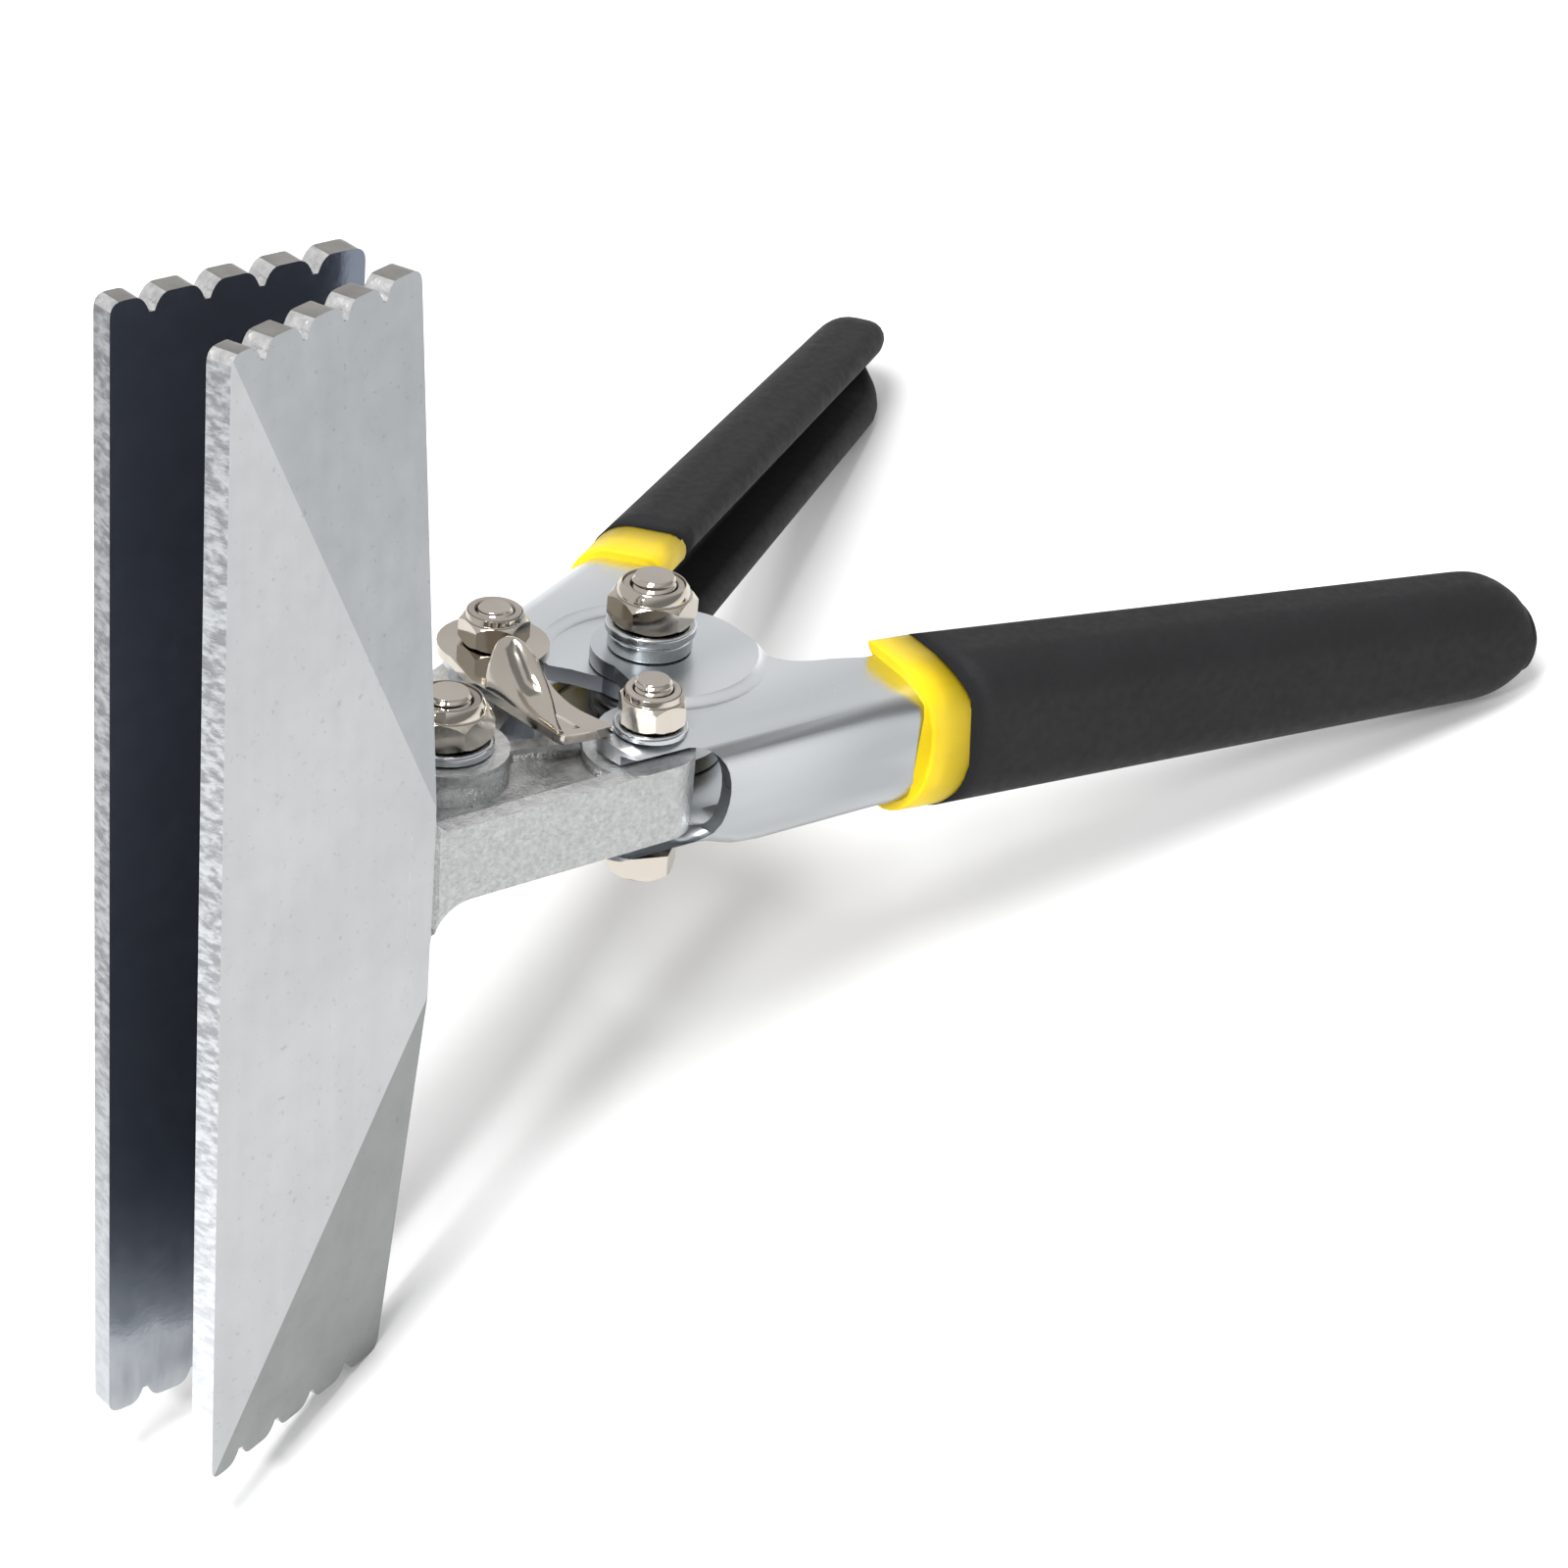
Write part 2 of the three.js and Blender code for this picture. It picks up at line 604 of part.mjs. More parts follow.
function washer(outer, thick, hole, centre, seat) {
  const edge = Math.min(0.25, thick / 3);
  return toGeometry(turned([
    [hole, seat], [outer, seat], [outer, seat + thick - edge], [outer - edge, seat + thick],
    [hole, seat + thick],
  ], centre));
}

// ---------------------------------------------------------------------------------------------
// Return spring: a helix on the bush, with a leg along the inside of each channel
// ---------------------------------------------------------------------------------------------

class SpringWire extends THREE.Curve {
  constructor() {
    super();
    this.coil = bushRadius + springClear + wireRadius;
    this.pitch = 2 * wireRadius + 0.3;
    this.spread = rad(springSpread);
    this.sweep = springTurns * 2 * Math.PI + Math.PI - 2 * this.spread;
    this.height = this.pitch * this.sweep / (2 * Math.PI);
    this.arc = this.coil * this.sweep;
    this.total = this.arc + 2 * springLeg;
  }

  at(angle, z) {
    return new THREE.Vector3(
      handlePivot.x + this.coil * Math.cos(angle), this.coil * Math.sin(angle), z);
  }

  getPoint(t, target = new THREE.Vector3()) {
    const middle = (handleIn - lobePress + handleLowIn + lobePress) / 2;
    const begin = Math.PI / 2 + this.spread;
    const s = t * this.total;
    const turn = (s - springLeg) / this.coil;
    const angle = begin + THREE.MathUtils.clamp(turn, 0, this.sweep);
    const z = middle - this.height / 2 + this.height * (angle - begin) / this.sweep;
    const p = this.at(angle, z);
    const tangent = new THREE.Vector3(-Math.sin(angle), Math.cos(angle), 0);
    if (turn < 0) p.addScaledVector(tangent, s - springLeg);
    if (turn > this.sweep) p.addScaledVector(tangent, s - springLeg - this.arc);
    return target.copy(p);
  }
}

function spring() {
  const wire = new SpringWire();
  const section = new THREE.Shape().absarc(0, 0, wireRadius, 0, 2 * Math.PI, false);
  return new THREE.ExtrudeGeometry(section, {
    steps: 80, extrudePath: wire, curveSegments: 4, bevelEnabled: false,
  });
}

// ---------------------------------------------------------------------------------------------
// Latch: a stamped plate that swings on the far link bolt, with a thumb tab and a pointed prop
// ---------------------------------------------------------------------------------------------

function latch(seat) {
  const eye = farLink;
  const target = nearLink;
  const tip = new THREE.Vector2(target.x - hexRadius(m5.flats) - 0.2, target.y + hexRadius(m5.flats) * 0.42);
  const front = new THREE.Vector2(linkBack - latchEye - 4.6, -9.4);
  const plan = new THREE.Shape();
  plan.moveTo(eye.x + latchEye * 0.2, eye.y - latchEye + 1);
  plan.quadraticCurveTo(eye.x - 4.6, 0, tip.x - 0.3, tip.y + 5.6);
  plan.quadraticCurveTo(tip.x - 0.3, tip.y + 2, tip.x, tip.y);
  plan.quadraticCurveTo(front.x + 4, front.y - 2.2, front.x, front.y);
  plan.lineTo(eye.x - latchEye - 2.6, eye.y - 6);
  plan.lineTo(eye.x - latchEye + 0.2, eye.y + 1);
  plan.lineTo(eye.x, eye.y);
  const flat = union(
    prism(plan, seat, seat + latchThick, 14),
    cylinder(latchEye, seat, seat + latchThick, eye),
  );

  // The thumb tab stands on the front edge, between the eye and the front corner
  const along = new THREE.Vector2(eye.x - latchEye - 2.6, eye.y - 6).sub(front);
  const tab = new THREE.Shape();
  tab.moveTo(0.2, 0);
  tab.bezierCurveTo(3, latchTab * 0.1, 5, latchTab * 0.6, 8.5, latchTab * 0.87);
  tab.bezierCurveTo(10.5, latchTab * 1.02, 12.2, latchTab * 1.05, 13.3, latchTab * 0.95);
  tab.bezierCurveTo(14.3, latchTab * 0.85, 14.8, latchTab * 0.5, 14.8, 0);
  const standing = new THREE.ExtrudeGeometry(tab, { depth: tabThick, bevelEnabled: false, curveSegments: 12 });
  standing.rotateX(Math.PI / 2).translate(0, tabThick, 0).rotateZ(along.angle());
  standing.translate(front.x, front.y, seat + latchThick - 0.4);
  const inward = new THREE.Vector2(along.y, -along.x).normalize();
  standing.translate(inward.x * tabThick, inward.y * tabThick, 0);
  const hole = cylinder(m5.radius + boltGap, seat - 1, seat + latchThick + 1, eye);
  return toGeometry(flat.add(toSolid(standing)).subtract(hole));
}

// ---------------------------------------------------------------------------------------------
// Materials
// ---------------------------------------------------------------------------------------------

const finish = (color, roughness, metalness) =>
  new THREE.MeshStandardMaterial({ color, roughness, metalness });
const zinc = finish(0xb9bfc1, 0.45, 0.9);
const brightZinc = finish(0xc9cdd2, 0.25, 1);
const nickel = finish(0xc9c0b2, 0.22, 1);
const vinyl = finish(0x2b2b2c, 0.85, 0);
const yellow = finish(0xf7cf12, 0.6, 0);
const nylon = finish(0xb8b0a2, 0.5, 0);
const springSteel = finish(0x5c5c5e, 0.4, 0.9);

// ---------------------------------------------------------------------------------------------
// Assembly in the tool frame
// ---------------------------------------------------------------------------------------------

const tool = new THREE.Group();

function place(name, geometry, material) {
  const mesh = new THREE.Mesh(geometry, material);
  mesh.name = name;
  tool.add(mesh);
  return mesh;
}

place('near_jaw', jaw(true), zinc);
place('far_jaw', jaw(false), zinc);

for (const side of ['near', 'far']) {
  const near = side === 'near';
  const front = near ? gripFront : gripFront - farDip;
  place(`${side}_handle`, handle(near), brightZinc);
  place(`${side}_grip`, coating(near, front + gripGap), vinyl);
  place(`${side}_grip_band`, coating(near, front - bandLength, front), yellow);
}

// Each joint's stack, from its seat upwards
const jawSeat = lugHeight + seatGap;
place('jaw_pivot_bolt', bolt(m6, new THREE.Vector2(), -lugHeight - seatGap,
  jawSeat + m6.washerThick + seatGap + m6.nut + boltProud * 0.7), nickel);
place('jaw_pivot_washer', washer(m6.washer, m6.washerThick, m6.radius + boltGap,
  new THREE.Vector2(), jawSeat), zinc);
const jawNutSeat = jawSeat + m6.washerThick + seatGap;
place('jaw_pivot_nut', nut(m6, new THREE.Vector2(), jawNutSeat, nutTurn.jaw), nickel);
place('jaw_pivot_lock_ring', lockRing(m6, new THREE.Vector2(), jawNutSeat), nylon);

const linkSeat = handleOut + seatGap;
for (const [side, centre, thick, proud] of [
  ['near', nearLink, m5.washerThick, boltProud], ['far', farLink, latchThick, boltProud * 0.1],
]) {
  const nutSeat = linkSeat + thick + seatGap;
  place(`${side}_link_bolt`, bolt(m5, centre, handleLowOut - seatGap, nutSeat + m5.nut + proud), nickel);
  place(`${side}_link_nut`, nut(m5, centre, nutSeat, nutTurn[side]), nickel);
  place(`${side}_link_lock_ring`, lockRing(m5, centre, nutSeat), nylon);
  place(`${side}_link_spacer`, washer(m5.washer, spacer, m5.radius + boltGap, centre,
    handleLowIn + seatGap), zinc);
}
place('near_link_washer', washer(m5.washer, m5.washerThick, m5.radius + boltGap, nearLink,
  linkSeat), zinc);
place('latch', latch(linkSeat), nickel);

const pivotSeat = handleOut + lobeRise + seatGap;
const pivotWasherSeat = pivotSeat + collarThick + seatGap;
const pivotNutSeat = pivotWasherSeat + m6.washerThick + seatGap;
place('handle_pivot_bolt', bolt(m6, handlePivot, handleLowOut - lobeRise - seatGap,
  pivotNutSeat + m6.nut + boltProud), nickel);
place('handle_pivot_collar', washer(collarRadius, collarThick, m6.radius + boltGap, handlePivot,
  pivotSeat), zinc);
place('handle_pivot_washer', washer(m6.washer, m6.washerThick, m6.radius + boltGap, handlePivot,
  pivotWasherSeat), zinc);
place('handle_pivot_nut', nut(m6, handlePivot, pivotNutSeat, nutTurn.handle), nickel);
place('handle_pivot_lock_ring', lockRing(m6, handlePivot, pivotNutSeat), nylon);
place('handle_pivot_bush', toGeometry(ring(m6.radius + 2 * boltGap, bushRadius,
  handleLowIn + lobePress + seatGap, handleIn - lobePress - seatGap, handlePivot)), zinc);
place('return_spring', spring(), springSteel);

// ---------------------------------------------------------------------------------------------
// Standing pose: the jaws' lower back corners and the grips' lower ends on the bench
// ---------------------------------------------------------------------------------------------

// Turns the tool until its two lowest stretches, in front and behind, are level
function restingTurn(group) {
  const corners = [];
  group.updateMatrixWorld(true);
  for (const mesh of group.children) {
    const position = mesh.geometry.attributes.position;
    for (let i = 0; i < position.count; i += 1) {
      corners.push([position.getX(i), position.getZ(i)]);
    }
  }
  const split = handlePivotBack;
  let turn = 0;
  for (let pass = 0; pass < 30; pass += 1) {
    const height = ([x, z]) => z * Math.cos(turn) - x * Math.sin(turn);
    const lowest = (list) => list.reduce((best, p) => (height(p) < height(best) ? p : best));
    const front = lowest(corners.filter(([x]) => x < split));
    const rear = lowest(corners.filter(([x]) => x >= split));
    turn = Math.atan2(rear[1] - front[1], rear[0] - front[0]);
  }
  return turn;
}

tool.rotation.y = restingTurn(tool);

const part = new THREE.Group();
part.add(tool);
part.updateMatrixWorld(true);
const bounds = new THREE.Box3().setFromObject(part, true);
const middle = bounds.getCenter(new THREE.Vector3());
tool.position.set(-middle.x, -middle.y, -bounds.min.z);

export default part;
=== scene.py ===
"""Hand seamer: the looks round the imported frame.

The jaws, handles, nuts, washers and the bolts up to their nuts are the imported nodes' own shapes
with their edges rounded, and the jaws' materials are set region by region. The grips, the bands,
the threads, the latch's thumb tab and the return spring are built here. Metres, in the part's
frame. Places come from the joints and from the nodes' own extents.
"""

import json
import math

import bmesh
import bpy
from mathutils import Matrix, Vector


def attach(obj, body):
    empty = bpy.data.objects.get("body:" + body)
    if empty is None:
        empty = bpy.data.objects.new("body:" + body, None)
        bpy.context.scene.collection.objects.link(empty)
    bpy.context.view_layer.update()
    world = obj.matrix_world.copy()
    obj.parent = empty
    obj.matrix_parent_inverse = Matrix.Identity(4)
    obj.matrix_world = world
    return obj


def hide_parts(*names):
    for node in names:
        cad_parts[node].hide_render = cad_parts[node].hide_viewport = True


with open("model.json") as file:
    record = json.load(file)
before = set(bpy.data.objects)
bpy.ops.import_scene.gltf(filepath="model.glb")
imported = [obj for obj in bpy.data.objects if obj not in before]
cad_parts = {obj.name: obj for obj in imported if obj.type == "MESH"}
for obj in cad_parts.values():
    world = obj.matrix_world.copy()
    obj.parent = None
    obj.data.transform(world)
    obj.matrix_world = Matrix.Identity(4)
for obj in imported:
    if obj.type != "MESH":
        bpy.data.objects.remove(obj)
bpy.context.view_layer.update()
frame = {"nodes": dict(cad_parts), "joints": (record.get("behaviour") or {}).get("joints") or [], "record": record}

MM = 0.001

# ---------------------------------------------------------------------------------------------
# The tool's own frame: origin on the jaw pivot, X to the rear, Y to the far side, Z along the bolts
# ---------------------------------------------------------------------------------------------

joints = {joint["name"]: joint for joint in frame["joints"]}
body_of = {}
for body, members in frame["record"]["behaviour"]["bodies"].items():
    for member in members:
        body_of[member] = body
slot_of = {part["node"]: part["material_slot"] for part in frame["record"]["subparts"]}

tool_up = Vector(joints["jaw_pivot"]["axis"]).normalized()
tool_side = Vector((0, 1, 0))
tool_back = tool_side.cross(tool_up)
TOOL = Matrix((tool_back, tool_side, tool_up)).transposed().to_4x4()
TOOL.translation = Vector(joints["jaw_pivot"]["pos_m"])
TO_TOOL = TOOL.inverted()
TURN_TO_TOOL = TO_TOOL.to_3x3()
# Each jaw stands this far open from the mid-plane
JAW_SWING = math.radians(joints["jaw_pivot"]["range_deg"][1]) / 2


def in_tool(node):
    """The node's corners in the tool's frame."""
    return [TO_TOOL @ vertex.co for vertex in frame["nodes"][node].data.vertices]


def span(node, axis):
    """The node's lowest and highest place along one axis of the tool's frame."""
    values = [point[axis] for point in in_tool(node)]
    return min(values), max(values)


def centre_of(node):
    return Vector([sum(span(node, axis)) / 2 for axis in range(3)])


# ---------------------------------------------------------------------------------------------
# Camera, as the tool is seen from the jaws' outer side, in front and above
# ---------------------------------------------------------------------------------------------

CAMERA_AZIMUTH = math.radians(-52.362)
CAMERA_ELEVATION = math.radians(29.307)
CAMERA_ROLL = math.radians(5.585)
CAMERA_DISTANCE = 489.519 * MM
CAMERA_RIGHT = 42.583 * MM   # the camera stands this far to its own right of the jaw pivot
CAMERA_UP = 1.315 * MM
CAMERA_LENS = 89.731         # in mm, like the sensor's width
SENSOR = 36
NEAREST = 0.01


def add_camera():
    back = Vector((
        math.sin(CAMERA_AZIMUTH) * math.cos(CAMERA_ELEVATION),
        -math.cos(CAMERA_AZIMUTH) * math.cos(CAMERA_ELEVATION),
        math.sin(CAMERA_ELEVATION)))
    level = Vector((math.cos(CAMERA_AZIMUTH), math.sin(CAMERA_AZIMUTH), 0))
    upright = back.cross(level)
    right = math.cos(CAMERA_ROLL) * level + math.sin(CAMERA_ROLL) * upright
    up = -math.sin(CAMERA_ROLL) * level + math.cos(CAMERA_ROLL) * upright
    matrix = Matrix((right, up, back)).transposed().to_4x4()
    matrix.translation = CAMERA_RIGHT * right + CAMERA_UP * up + CAMERA_DISTANCE * back
    data = bpy.data.cameras.new("camera")
    data.sensor_fit = "HORIZONTAL"
    data.sensor_width = SENSOR
    data.lens = CAMERA_LENS
    data.clip_start = NEAREST
    camera = bpy.data.objects.new("camera", data)
    bpy.context.scene.collection.objects.link(camera)
    camera.matrix_world = TOOL @ matrix
    bpy.context.scene.camera = camera


# ---------------------------------------------------------------------------------------------
# Material helpers
# ---------------------------------------------------------------------------------------------


class Nodes:
    """A material's nodes, with a short call for each kind used here.

    Its place is in the tool's frame.
    """

    def __init__(self, name, base=(0.8, 0.8, 0.8), metallic=0.0, roughness=0.5):
        self.material = bpy.data.materials.new(name)
        self.material.use_nodes = True
        self.tree = self.material.node_tree
        self.shader = self.tree.nodes["Principled BSDF"]
        self.shader.inputs["Base Color"].default_value = (*base, 1)
        self.shader.inputs["Metallic"].default_value = metallic
        self.shader.inputs["Roughness"].default_value = roughness
        turned = self.tree.nodes.new("ShaderNodeMapping")
        turned.inputs["Rotation"].default_value = TURN_TO_TOOL.to_euler()
        place = self.tree.nodes.new("ShaderNodeTexCoord").outputs["Object"]
        self.link(place, turned.inputs["Vector"])
        self.place = turned.outputs["Vector"]

    def link(self, source, target):
        self.tree.links.new(source, target)

    def noise(self, scale, detail=3, roughness=0.5, stretch=None):
        node = self.tree.nodes.new("ShaderNodeTexNoise")
        node.inputs["Scale"].default_value = scale
        node.inputs["Detail"].default_value = detail
        node.inputs["Roughness"].default_value = roughness
        self.link(self.mapped(stretch), node.inputs["Vector"])
        return node.outputs["Fac"]

    def mapped(self, stretch):
        if stretch is None:
            return self.place
        mapping = self.tree.nodes.new("ShaderNodeMapping")
        mapping.inputs["Scale"].default_value = stretch
        self.link(self.place, mapping.inputs["Vector"])
        return mapping.outputs["Vector"]

    def ramp(self, value, low, high, from_low=0.3, from_high=0.7):
        node = self.tree.nodes.new("ShaderNodeMapRange")
        node.inputs["From Min"].default_value = from_low
        node.inputs["From Max"].default_value = from_high
        node.inputs["To Min"].default_value = low
        node.inputs["To Max"].default_value = high
        self.link(value, node.inputs["Value"])
        return node.outputs["Result"]

    def mix(self, value, first, second):
        """Between two colours, each a tuple or another node's output."""
        node = self.tree.nodes.new("ShaderNodeMix")
        node.data_type = "RGBA"
        for socket, colour in (("A", first), ("B", second)):
            if isinstance(colour, tuple):
                node.inputs[socket].default_value = (*colour, 1)
            else:
                self.link(colour, node.inputs[socket])
        self.link(value, node.inputs["Factor"])
        return node.outputs["Result"]

    def bump(self, value, height, strength=1.0, under=None):
        node = self.tree.nodes.new("ShaderNodeBump")
        node.inputs["Distance"].default_value = height
        node.inputs["Strength"].default_value = strength
        self.link(value, node.inputs["Height"])
        if under is not None:
            self.link(under, node.inputs["Normal"])
        return node.outputs["Normal"]

    def facing(self, direction):
        """The share of the surface's direction that is along the given one."""
        dot = self.tree.nodes.new("ShaderNodeVectorMath")
        dot.operation = "DOT_PRODUCT"
        dot.inputs[1].default_value = direction
        self.link(self.tree.nodes.new("ShaderNodeNewGeometry").outputs["Normal"], dot.inputs[0])
        return dot.outputs["Value"]

    def colour(self, value):
        self.link(value, self.shader.inputs["Base Color"])

    def rough(self, value):
        self.link(value, self.shader.inputs["Roughness"])

    def normal(self, value):
        self.link(value, self.shader.inputs["Normal"])


# ---------------------------------------------------------------------------------------------
# Materials
# ---------------------------------------------------------------------------------------------


def times(colour, factor):
    return tuple(factor * part for part in colour)


def metal(name, first, second, rough, grain, cloud=60, fine=1400):
    """Plated metal: a soft cloudy tint, uneven gloss and a fine grain."""
    m = Nodes(name, first, 1.0, rough[0])
    m.colour(m.mix(m.ramp(m.noise(cloud, 4), 0, 1), first, second))
    m.rough(m.ramp(m.noise(fine / 3, 4), *rough))
    m.normal(m.bump(m.noise(fine, 3, 0.6), grain))
    return m.material


def blade_metal(name, first, second, rough):
    """Rolled and zinc-plated blade: clouds, faint streaks along it, and scattered pits."""
    m = Nodes(name, first, 1.0, rough[0])
    clouds = m.mix(m.ramp(m.noise(45, 5, 0.6), 0, 1), first, second)
    streaks = m.ramp(m.noise(420, 3, 0.5, (1, 1, 0.06)), 0, 0.2)
    streaked = m.mix(streaks, clouds, times(second, 0.85))
    pits = m.ramp(m.noise(1100, 2, 0.5), 0, 0.35, 0.66, 0.76)
    m.colour(m.mix(pits, streaked, times(second, 0.5)))
    m.rough(m.ramp(m.noise(260, 5, 0.6), *rough))
    grain = m.bump(m.noise(1700, 3, 0.6), 0.012 * MM)
    m.normal(m.bump(m.noise(500, 2, 0.5, (1, 1, 0.1)), 0.008 * MM, 1, grain))
    return m.material


def inner_metal(name):
    """The gripping face: painted shade where the other jaw shades it, and a painted floor reflection, paler
    towards the lower end.
    """
    m = Nodes(name, (0.2, 0.2, 0.2), 0.8, 0.25)
    height = m.tree.nodes.new("ShaderNodeSeparateXYZ")
    m.link(m.place, height.inputs["Vector"])
    # Painted shade and reflection: the cloudy dark colours stand for the other jaw's shade, and the pale brushed
    # colours lower down for the bright floor mirrored through the gap
    painted_reflection_share = m.ramp(height.outputs["Z"], 1, 0, -84 * MM, 5 * MM)
    clouds = m.noise(26, 5, 0.6)
    mottled_painted_shade = m.mix(m.ramp(clouds, 0, 1), (0.18, 0.20, 0.25), (0.13, 0.15, 0.19))
    brushed = m.ramp(m.noise(500, 3, 0.6, (1, 1, 0.35)), 0, 1)
    lower = m.mix(brushed, (0.95, 0.97, 0.96), (0.66, 0.68, 0.68))
    m.colour(m.mix(painted_reflection_share, mottled_painted_shade, lower))
    m.rough(m.ramp(m.noise(300, 4), 0.16, 0.26))
    m.normal(m.bump(m.noise(900, 4, 0.6), 0.03 * MM))
    return m.material


def ground_edge(name, shade):
    """The blade's front edge: short strokes across it, and a paler, smoother lower half.

    The shade is painted shade: the share of the metal's colours that this blade's edge shows, lower on the far
    jaw.
    """
    m = Nodes(name, (0.5, 0.52, 0.56), 1.0, 0.34)
    height = m.tree.nodes.new("ShaderNodeSeparateXYZ")
    m.link(m.place, height.inputs["Vector"])
    lower = m.ramp(height.outputs["Z"], 1, 0, -25 * MM, 35 * MM)
    strokes = m.noise(1000, 3, 0.6, (0.5, 0.5, 1.1))
    rubbed = m.mix(m.ramp(strokes, 0, 1, 0.4, 0.6),
                   times((0.36, 0.37, 0.39), shade), times((0.66, 0.68, 0.70), shade))
    smoother = m.mix(m.ramp(strokes, 0, 1, 0.3, 0.6),
                     times((0.72, 0.75, 0.78), shade), times((0.84, 0.87, 0.91), shade))
    m.colour(m.mix(lower, rubbed, smoother))
    m.rough(m.ramp(m.noise(900, 3), 0.26, 0.42))
    m.normal(m.bump(strokes, 0.08 * MM))
    return m.material


def drawn_metal(name, first, second, rough, grain):
    """Bright pressed sheet: long soft streaks in its plating, and painted shade that darkens the wall."""
    m = Nodes(name, first, 1.0, rough[0])
    streaks = m.noise(70, 1, 0.4, (0.14, 1, 2.0))
    share = m.ramp(streaks, 0, 1, 0.38, 0.62)
    flat = m.mix(share, first, second)
    # Painted shade: faces looking sideways get darker copies of the colours of those looking up along the bolts
    wall = m.mix(share, times(first, 0.66), times(second, 0.55))
    m.colour(m.mix(m.ramp(m.facing(tool_up), 0, 1, 0.3, 0.8), wall, flat))
    m.rough(m.ramp(m.noise(120, 4, 0.5, (0.3, 1, 1)), *rough))
    m.normal(m.bump(streaks, grain))
    return m.material


def vinyl(name, colour, rough, grain):
    """Soft plastic: a faint cloudy tint, and a fine grain on a wavy skin."""
    m = Nodes(name, colour, 0, rough)
    m.shader.inputs["Specular IOR Level"].default_value = 0.3
    m.colour(m.mix(m.ramp(m.noise(90, 4), 0, 1), colour, times(colour, 0.8)))
    m.rough(m.ramp(m.noise(700, 3), rough - 0.06, rough + 0.06))
    skin = m.bump(m.noise(160, 2), 8 * grain, 0.5)
    m.normal(m.bump(m.noise(2600, 2, 0.6), grain, 1, skin))
    return m.material


blade_zinc = blade_metal("blade_zinc", (0.45, 0.46, 0.47), (0.405, 0.415, 0.42), (0.30, 0.42))
# The upper and lower facets are darker copies of the blade's metal: painted shade where they mirror the dark grip
# and the shadowed floor under the blade
upper_facet_shaded_zinc = blade_metal("upper_facet_shaded_zinc", (0.35, 0.365, 0.38), (0.315, 0.33, 0.34), (0.30, 0.42))
lower_facet_shaded_zinc = blade_metal("lower_facet_shaded_zinc", (0.25, 0.262, 0.258), (0.215, 0.227, 0.223), (0.32, 0.44))
inner_zinc = inner_metal("inner_zinc")
end_zinc = metal(
    "end_zinc", (0.36, 0.35, 0.33), (0.27, 0.26, 0.245), (0.22, 0.34), 0.03 * MM, 300, 900)
notch_zinc = metal(
    "notch_zinc", (0.80, 0.80, 0.80), (0.55, 0.55, 0.55), (0.15, 0.3), 0.15 * MM, 900, 900)
# Both front edges are one ground metal; the far jaw's is a darker copy, painted shade
near_edge_zinc = ground_edge("near_edge_zinc", 0.9)
far_edge_shaded_zinc = ground_edge("far_edge_shaded_zinc", 0.6)
worn_rim = metal(
    "worn_rim", (0.46, 0.43, 0.39), (0.27, 0.25, 0.22), (0.22, 0.4), 0.03 * MM, 600, 1200)
# The arm's top and sides are one cast metal: the top's colours are painted much paler than the sides', painted
# light
cast_side = metal(
    "cast_side", (0.46, 0.47, 0.47), (0.34, 0.35, 0.35), (0.30, 0.46), 0.16 * MM, 1500, 2300)
cast_top_painted_light = metal(
    "cast_top_painted_light", (0.85, 0.855, 0.86), (0.62, 0.625, 0.63), (0.34, 0.5), 0.16 * MM, 600, 2300)
handle_zinc = drawn_metal(
    "handle_zinc", (0.74, 0.76, 0.78), (0.60, 0.63, 0.66), (0.26, 0.34), 0.003 * MM)
handle_rim = metal(
    "handle_rim", (0.62, 0.64, 0.67), (0.42, 0.44, 0.47), (0.10, 0.2), 0.02 * MM, 400, 700)
nickel = metal("nickel", (0.56, 0.515, 0.455), (0.47, 0.43, 0.38), (0.06, 0.12), 0.003 * MM)
nickel_rim = metal("nickel_rim", (0.72, 0.68, 0.62), (0.55, 0.51, 0.47), (0.12, 0.22), 0.006 * MM)
washer_zinc = metal("washer_zinc", (0.50, 0.52, 0.53), (0.40, 0.42, 0.43), (0.2, 0.3), 0.01 * MM)
spring_steel = metal("spring_steel", (0.22, 0.22, 0.22), (0.16, 0.16, 0.16), (0.3, 0.42), 0.01 * MM)
grip_vinyl = vinyl("grip_vinyl", (0.013, 0.013, 0.0145), 0.72, 0.03 * MM)
band_vinyl = vinyl("band_vinyl", (1.0, 0.72, 0.008), 0.5, 0.008 * MM)
lock_nylon = vinyl("lock_nylon", (0.30, 0.27, 0.24), 0.4, 0.004 * MM)

# For each slot: the surface's material and the one on its rounded edges
FINISH = {
    "handle_zinc": (handle_zinc, handle_rim),
    "fastener_nickel": (nickel, nickel_rim),
    "washer_zinc": (washer_zinc, handle_rim),
    "grip_vinyl": (grip_vinyl, grip_vinyl),
    "band_vinyl": (band_vinyl, band_vinyl),
    "lock_nylon": (lock_nylon, lock_nylon),
    "spring_steel": (spring_steel, spring_steel),
}

# ---------------------------------------------------------------------------------------------
# Pieces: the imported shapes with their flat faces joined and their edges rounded
# ---------------------------------------------------------------------------------------------


def welded(node):
    """The node's surface as one closed bmesh, its flat faces joined."""
    source = frame["nodes"][node].data
    bm = bmesh.new()
    corners = [bm.verts.new(vertex.co) for vertex in source.vertices]
    for polygon in source.polygons:
        try:
            bm.faces.new([corners[i] for i in polygon.vertices])
        except ValueError:
            pass
    bmesh.ops.remove_doubles(bm, verts=bm.verts, dist=0.002 * MM)
    bmesh.ops.dissolve_limit(bm, angle_limit=math.radians(0.4), verts=bm.verts, edges=bm.edges)
    return bm


